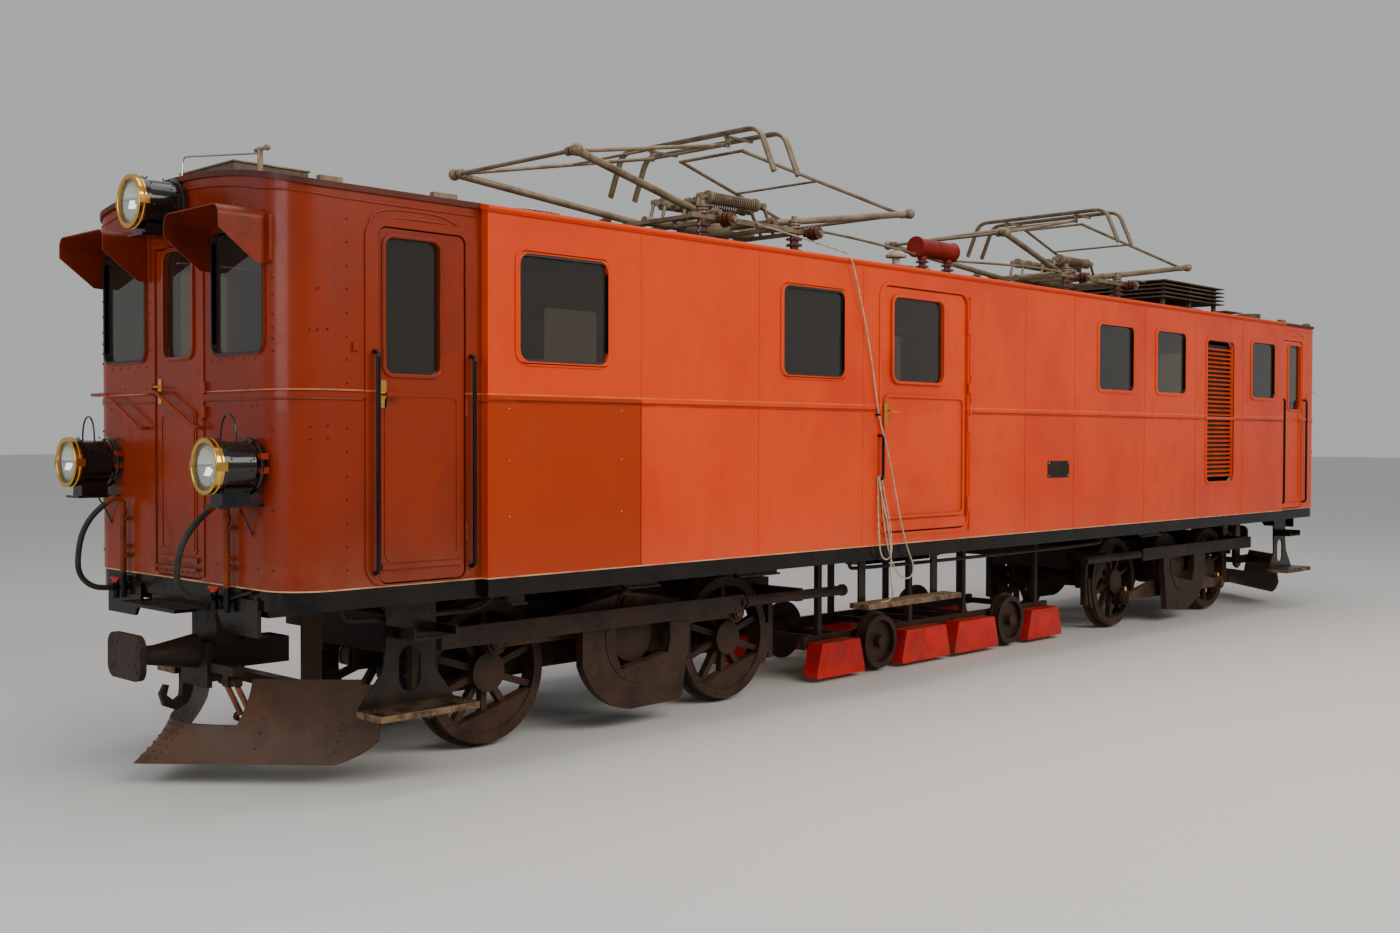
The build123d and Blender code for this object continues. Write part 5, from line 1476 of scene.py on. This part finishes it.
class LOCO_OT_sides(bpy.types.Operator):
    """Add the belt, seams, frames and blank plates of the long walls"""
    bl_idname = "loco.sides"
    bl_label = "Sides"

    def execute(self, context):
        make_side_trim(context.scene.loco)
        return {"FINISHED"}


class LOCO_OT_lamps(bpy.types.Operator):
    """Fit the bowls, bulbs, rims and wires of the lamps"""
    bl_idname = "loco.lamps"
    bl_label = "Lamps"

    def execute(self, context):
        make_lamps()
        return {"FINISHED"}


class LOCO_OT_roof(bpy.types.Operator):
    """Add the roof's seams, brackets, conductor, cap and tank bands"""
    bl_idname = "loco.roof"
    bl_label = "Roof"

    def execute(self, context):
        make_roof_seams(context.scene.loco)
        make_roof_brackets()
        make_roof_lines()
        make_tank_parts()
        return {"FINISHED"}


class LOCO_OT_collectors(bpy.types.Operator):
    """Add springs, knuckles, bands and strips to both collectors"""
    bl_idname = "loco.collectors"
    bl_label = "Collectors"

    def execute(self, context):
        make_pantograph_springs(context.scene.loco)
        make_pantograph_heads()
        return {"FINISHED"}


class LOCO_OT_running_gear(bpy.types.Operator):
    """Add bolts, springs, nuts and oil cups to the bogies, wheels and rods"""
    bl_idname = "loco.running_gear"
    bl_label = "Running gear"

    def execute(self, context):
        make_bogie_parts()
        make_wheel_parts()
        return {"FINISHED"}


class LOCO_OT_ends(bpy.types.Operator):
    """Finish the ploughs, couplings, skirts, air pipes and steps"""
    bl_idname = "loco.ends"
    bl_label = "Ends and steps"

    def execute(self, context):
        make_end_gear(context.scene.loco)
        make_skirt_parts()
        make_air_cocks()
        make_steps()
        return {"FINISHED"}


class LOCO_OT_stage(bpy.types.Operator):
    """Lay the floor and light it"""
    bl_idname = "loco.stage"
    bl_label = "Stage"

    def execute(self, context):
        make_stage()
        return {"FINISHED"}


OPERATORS = [
    LOCO_OT_camera, LOCO_OT_materials, LOCO_OT_cords, LOCO_OT_doors, LOCO_OT_windows, LOCO_OT_cabs,
    LOCO_OT_sides, LOCO_OT_lamps, LOCO_OT_roof, LOCO_OT_collectors, LOCO_OT_running_gear, LOCO_OT_ends,
    LOCO_OT_stage,
]


class LOCO_PT_pieces(bpy.types.Panel):
    """Settings and pieces of the locomotive"""
    bl_idname = "LOCO_PT_pieces"
    bl_label = "Locomotive"
    bl_space_type = "VIEW_3D"
    bl_region_type = "UI"
    bl_category = "Locomotive"

    def draw(self, context):
        for name in ("rivet_size", "seal_width", "coil_turns"):
            self.layout.prop(context.scene.loco, name)
        for operator in OPERATORS:
            self.layout.operator(operator.bl_idname)


CLASSES = [LocomotiveSettings] + OPERATORS + [LOCO_PT_pieces]


def register():
    for item in CLASSES:
        bpy.utils.register_class(item)
    bpy.types.Scene.loco = bpy.props.PointerProperty(type=LocomotiveSettings)


def unregister():
    del bpy.types.Scene.loco
    for item in reversed(CLASSES):
        bpy.utils.unregister_class(item)


def main():
    register()
    bpy.ops.loco.camera()
    bpy.ops.loco.materials()
    bpy.ops.loco.cords()
    bpy.ops.loco.doors()
    bpy.ops.loco.windows()
    bpy.ops.loco.cabs()
    bpy.ops.loco.sides()
    bpy.ops.loco.lamps()
    bpy.ops.loco.roof()
    bpy.ops.loco.collectors()
    bpy.ops.loco.running_gear()
    bpy.ops.loco.ends()
    bpy.ops.loco.stage()
    bpy.context.view_layer.update()


if __name__ == "__main__":
    main()
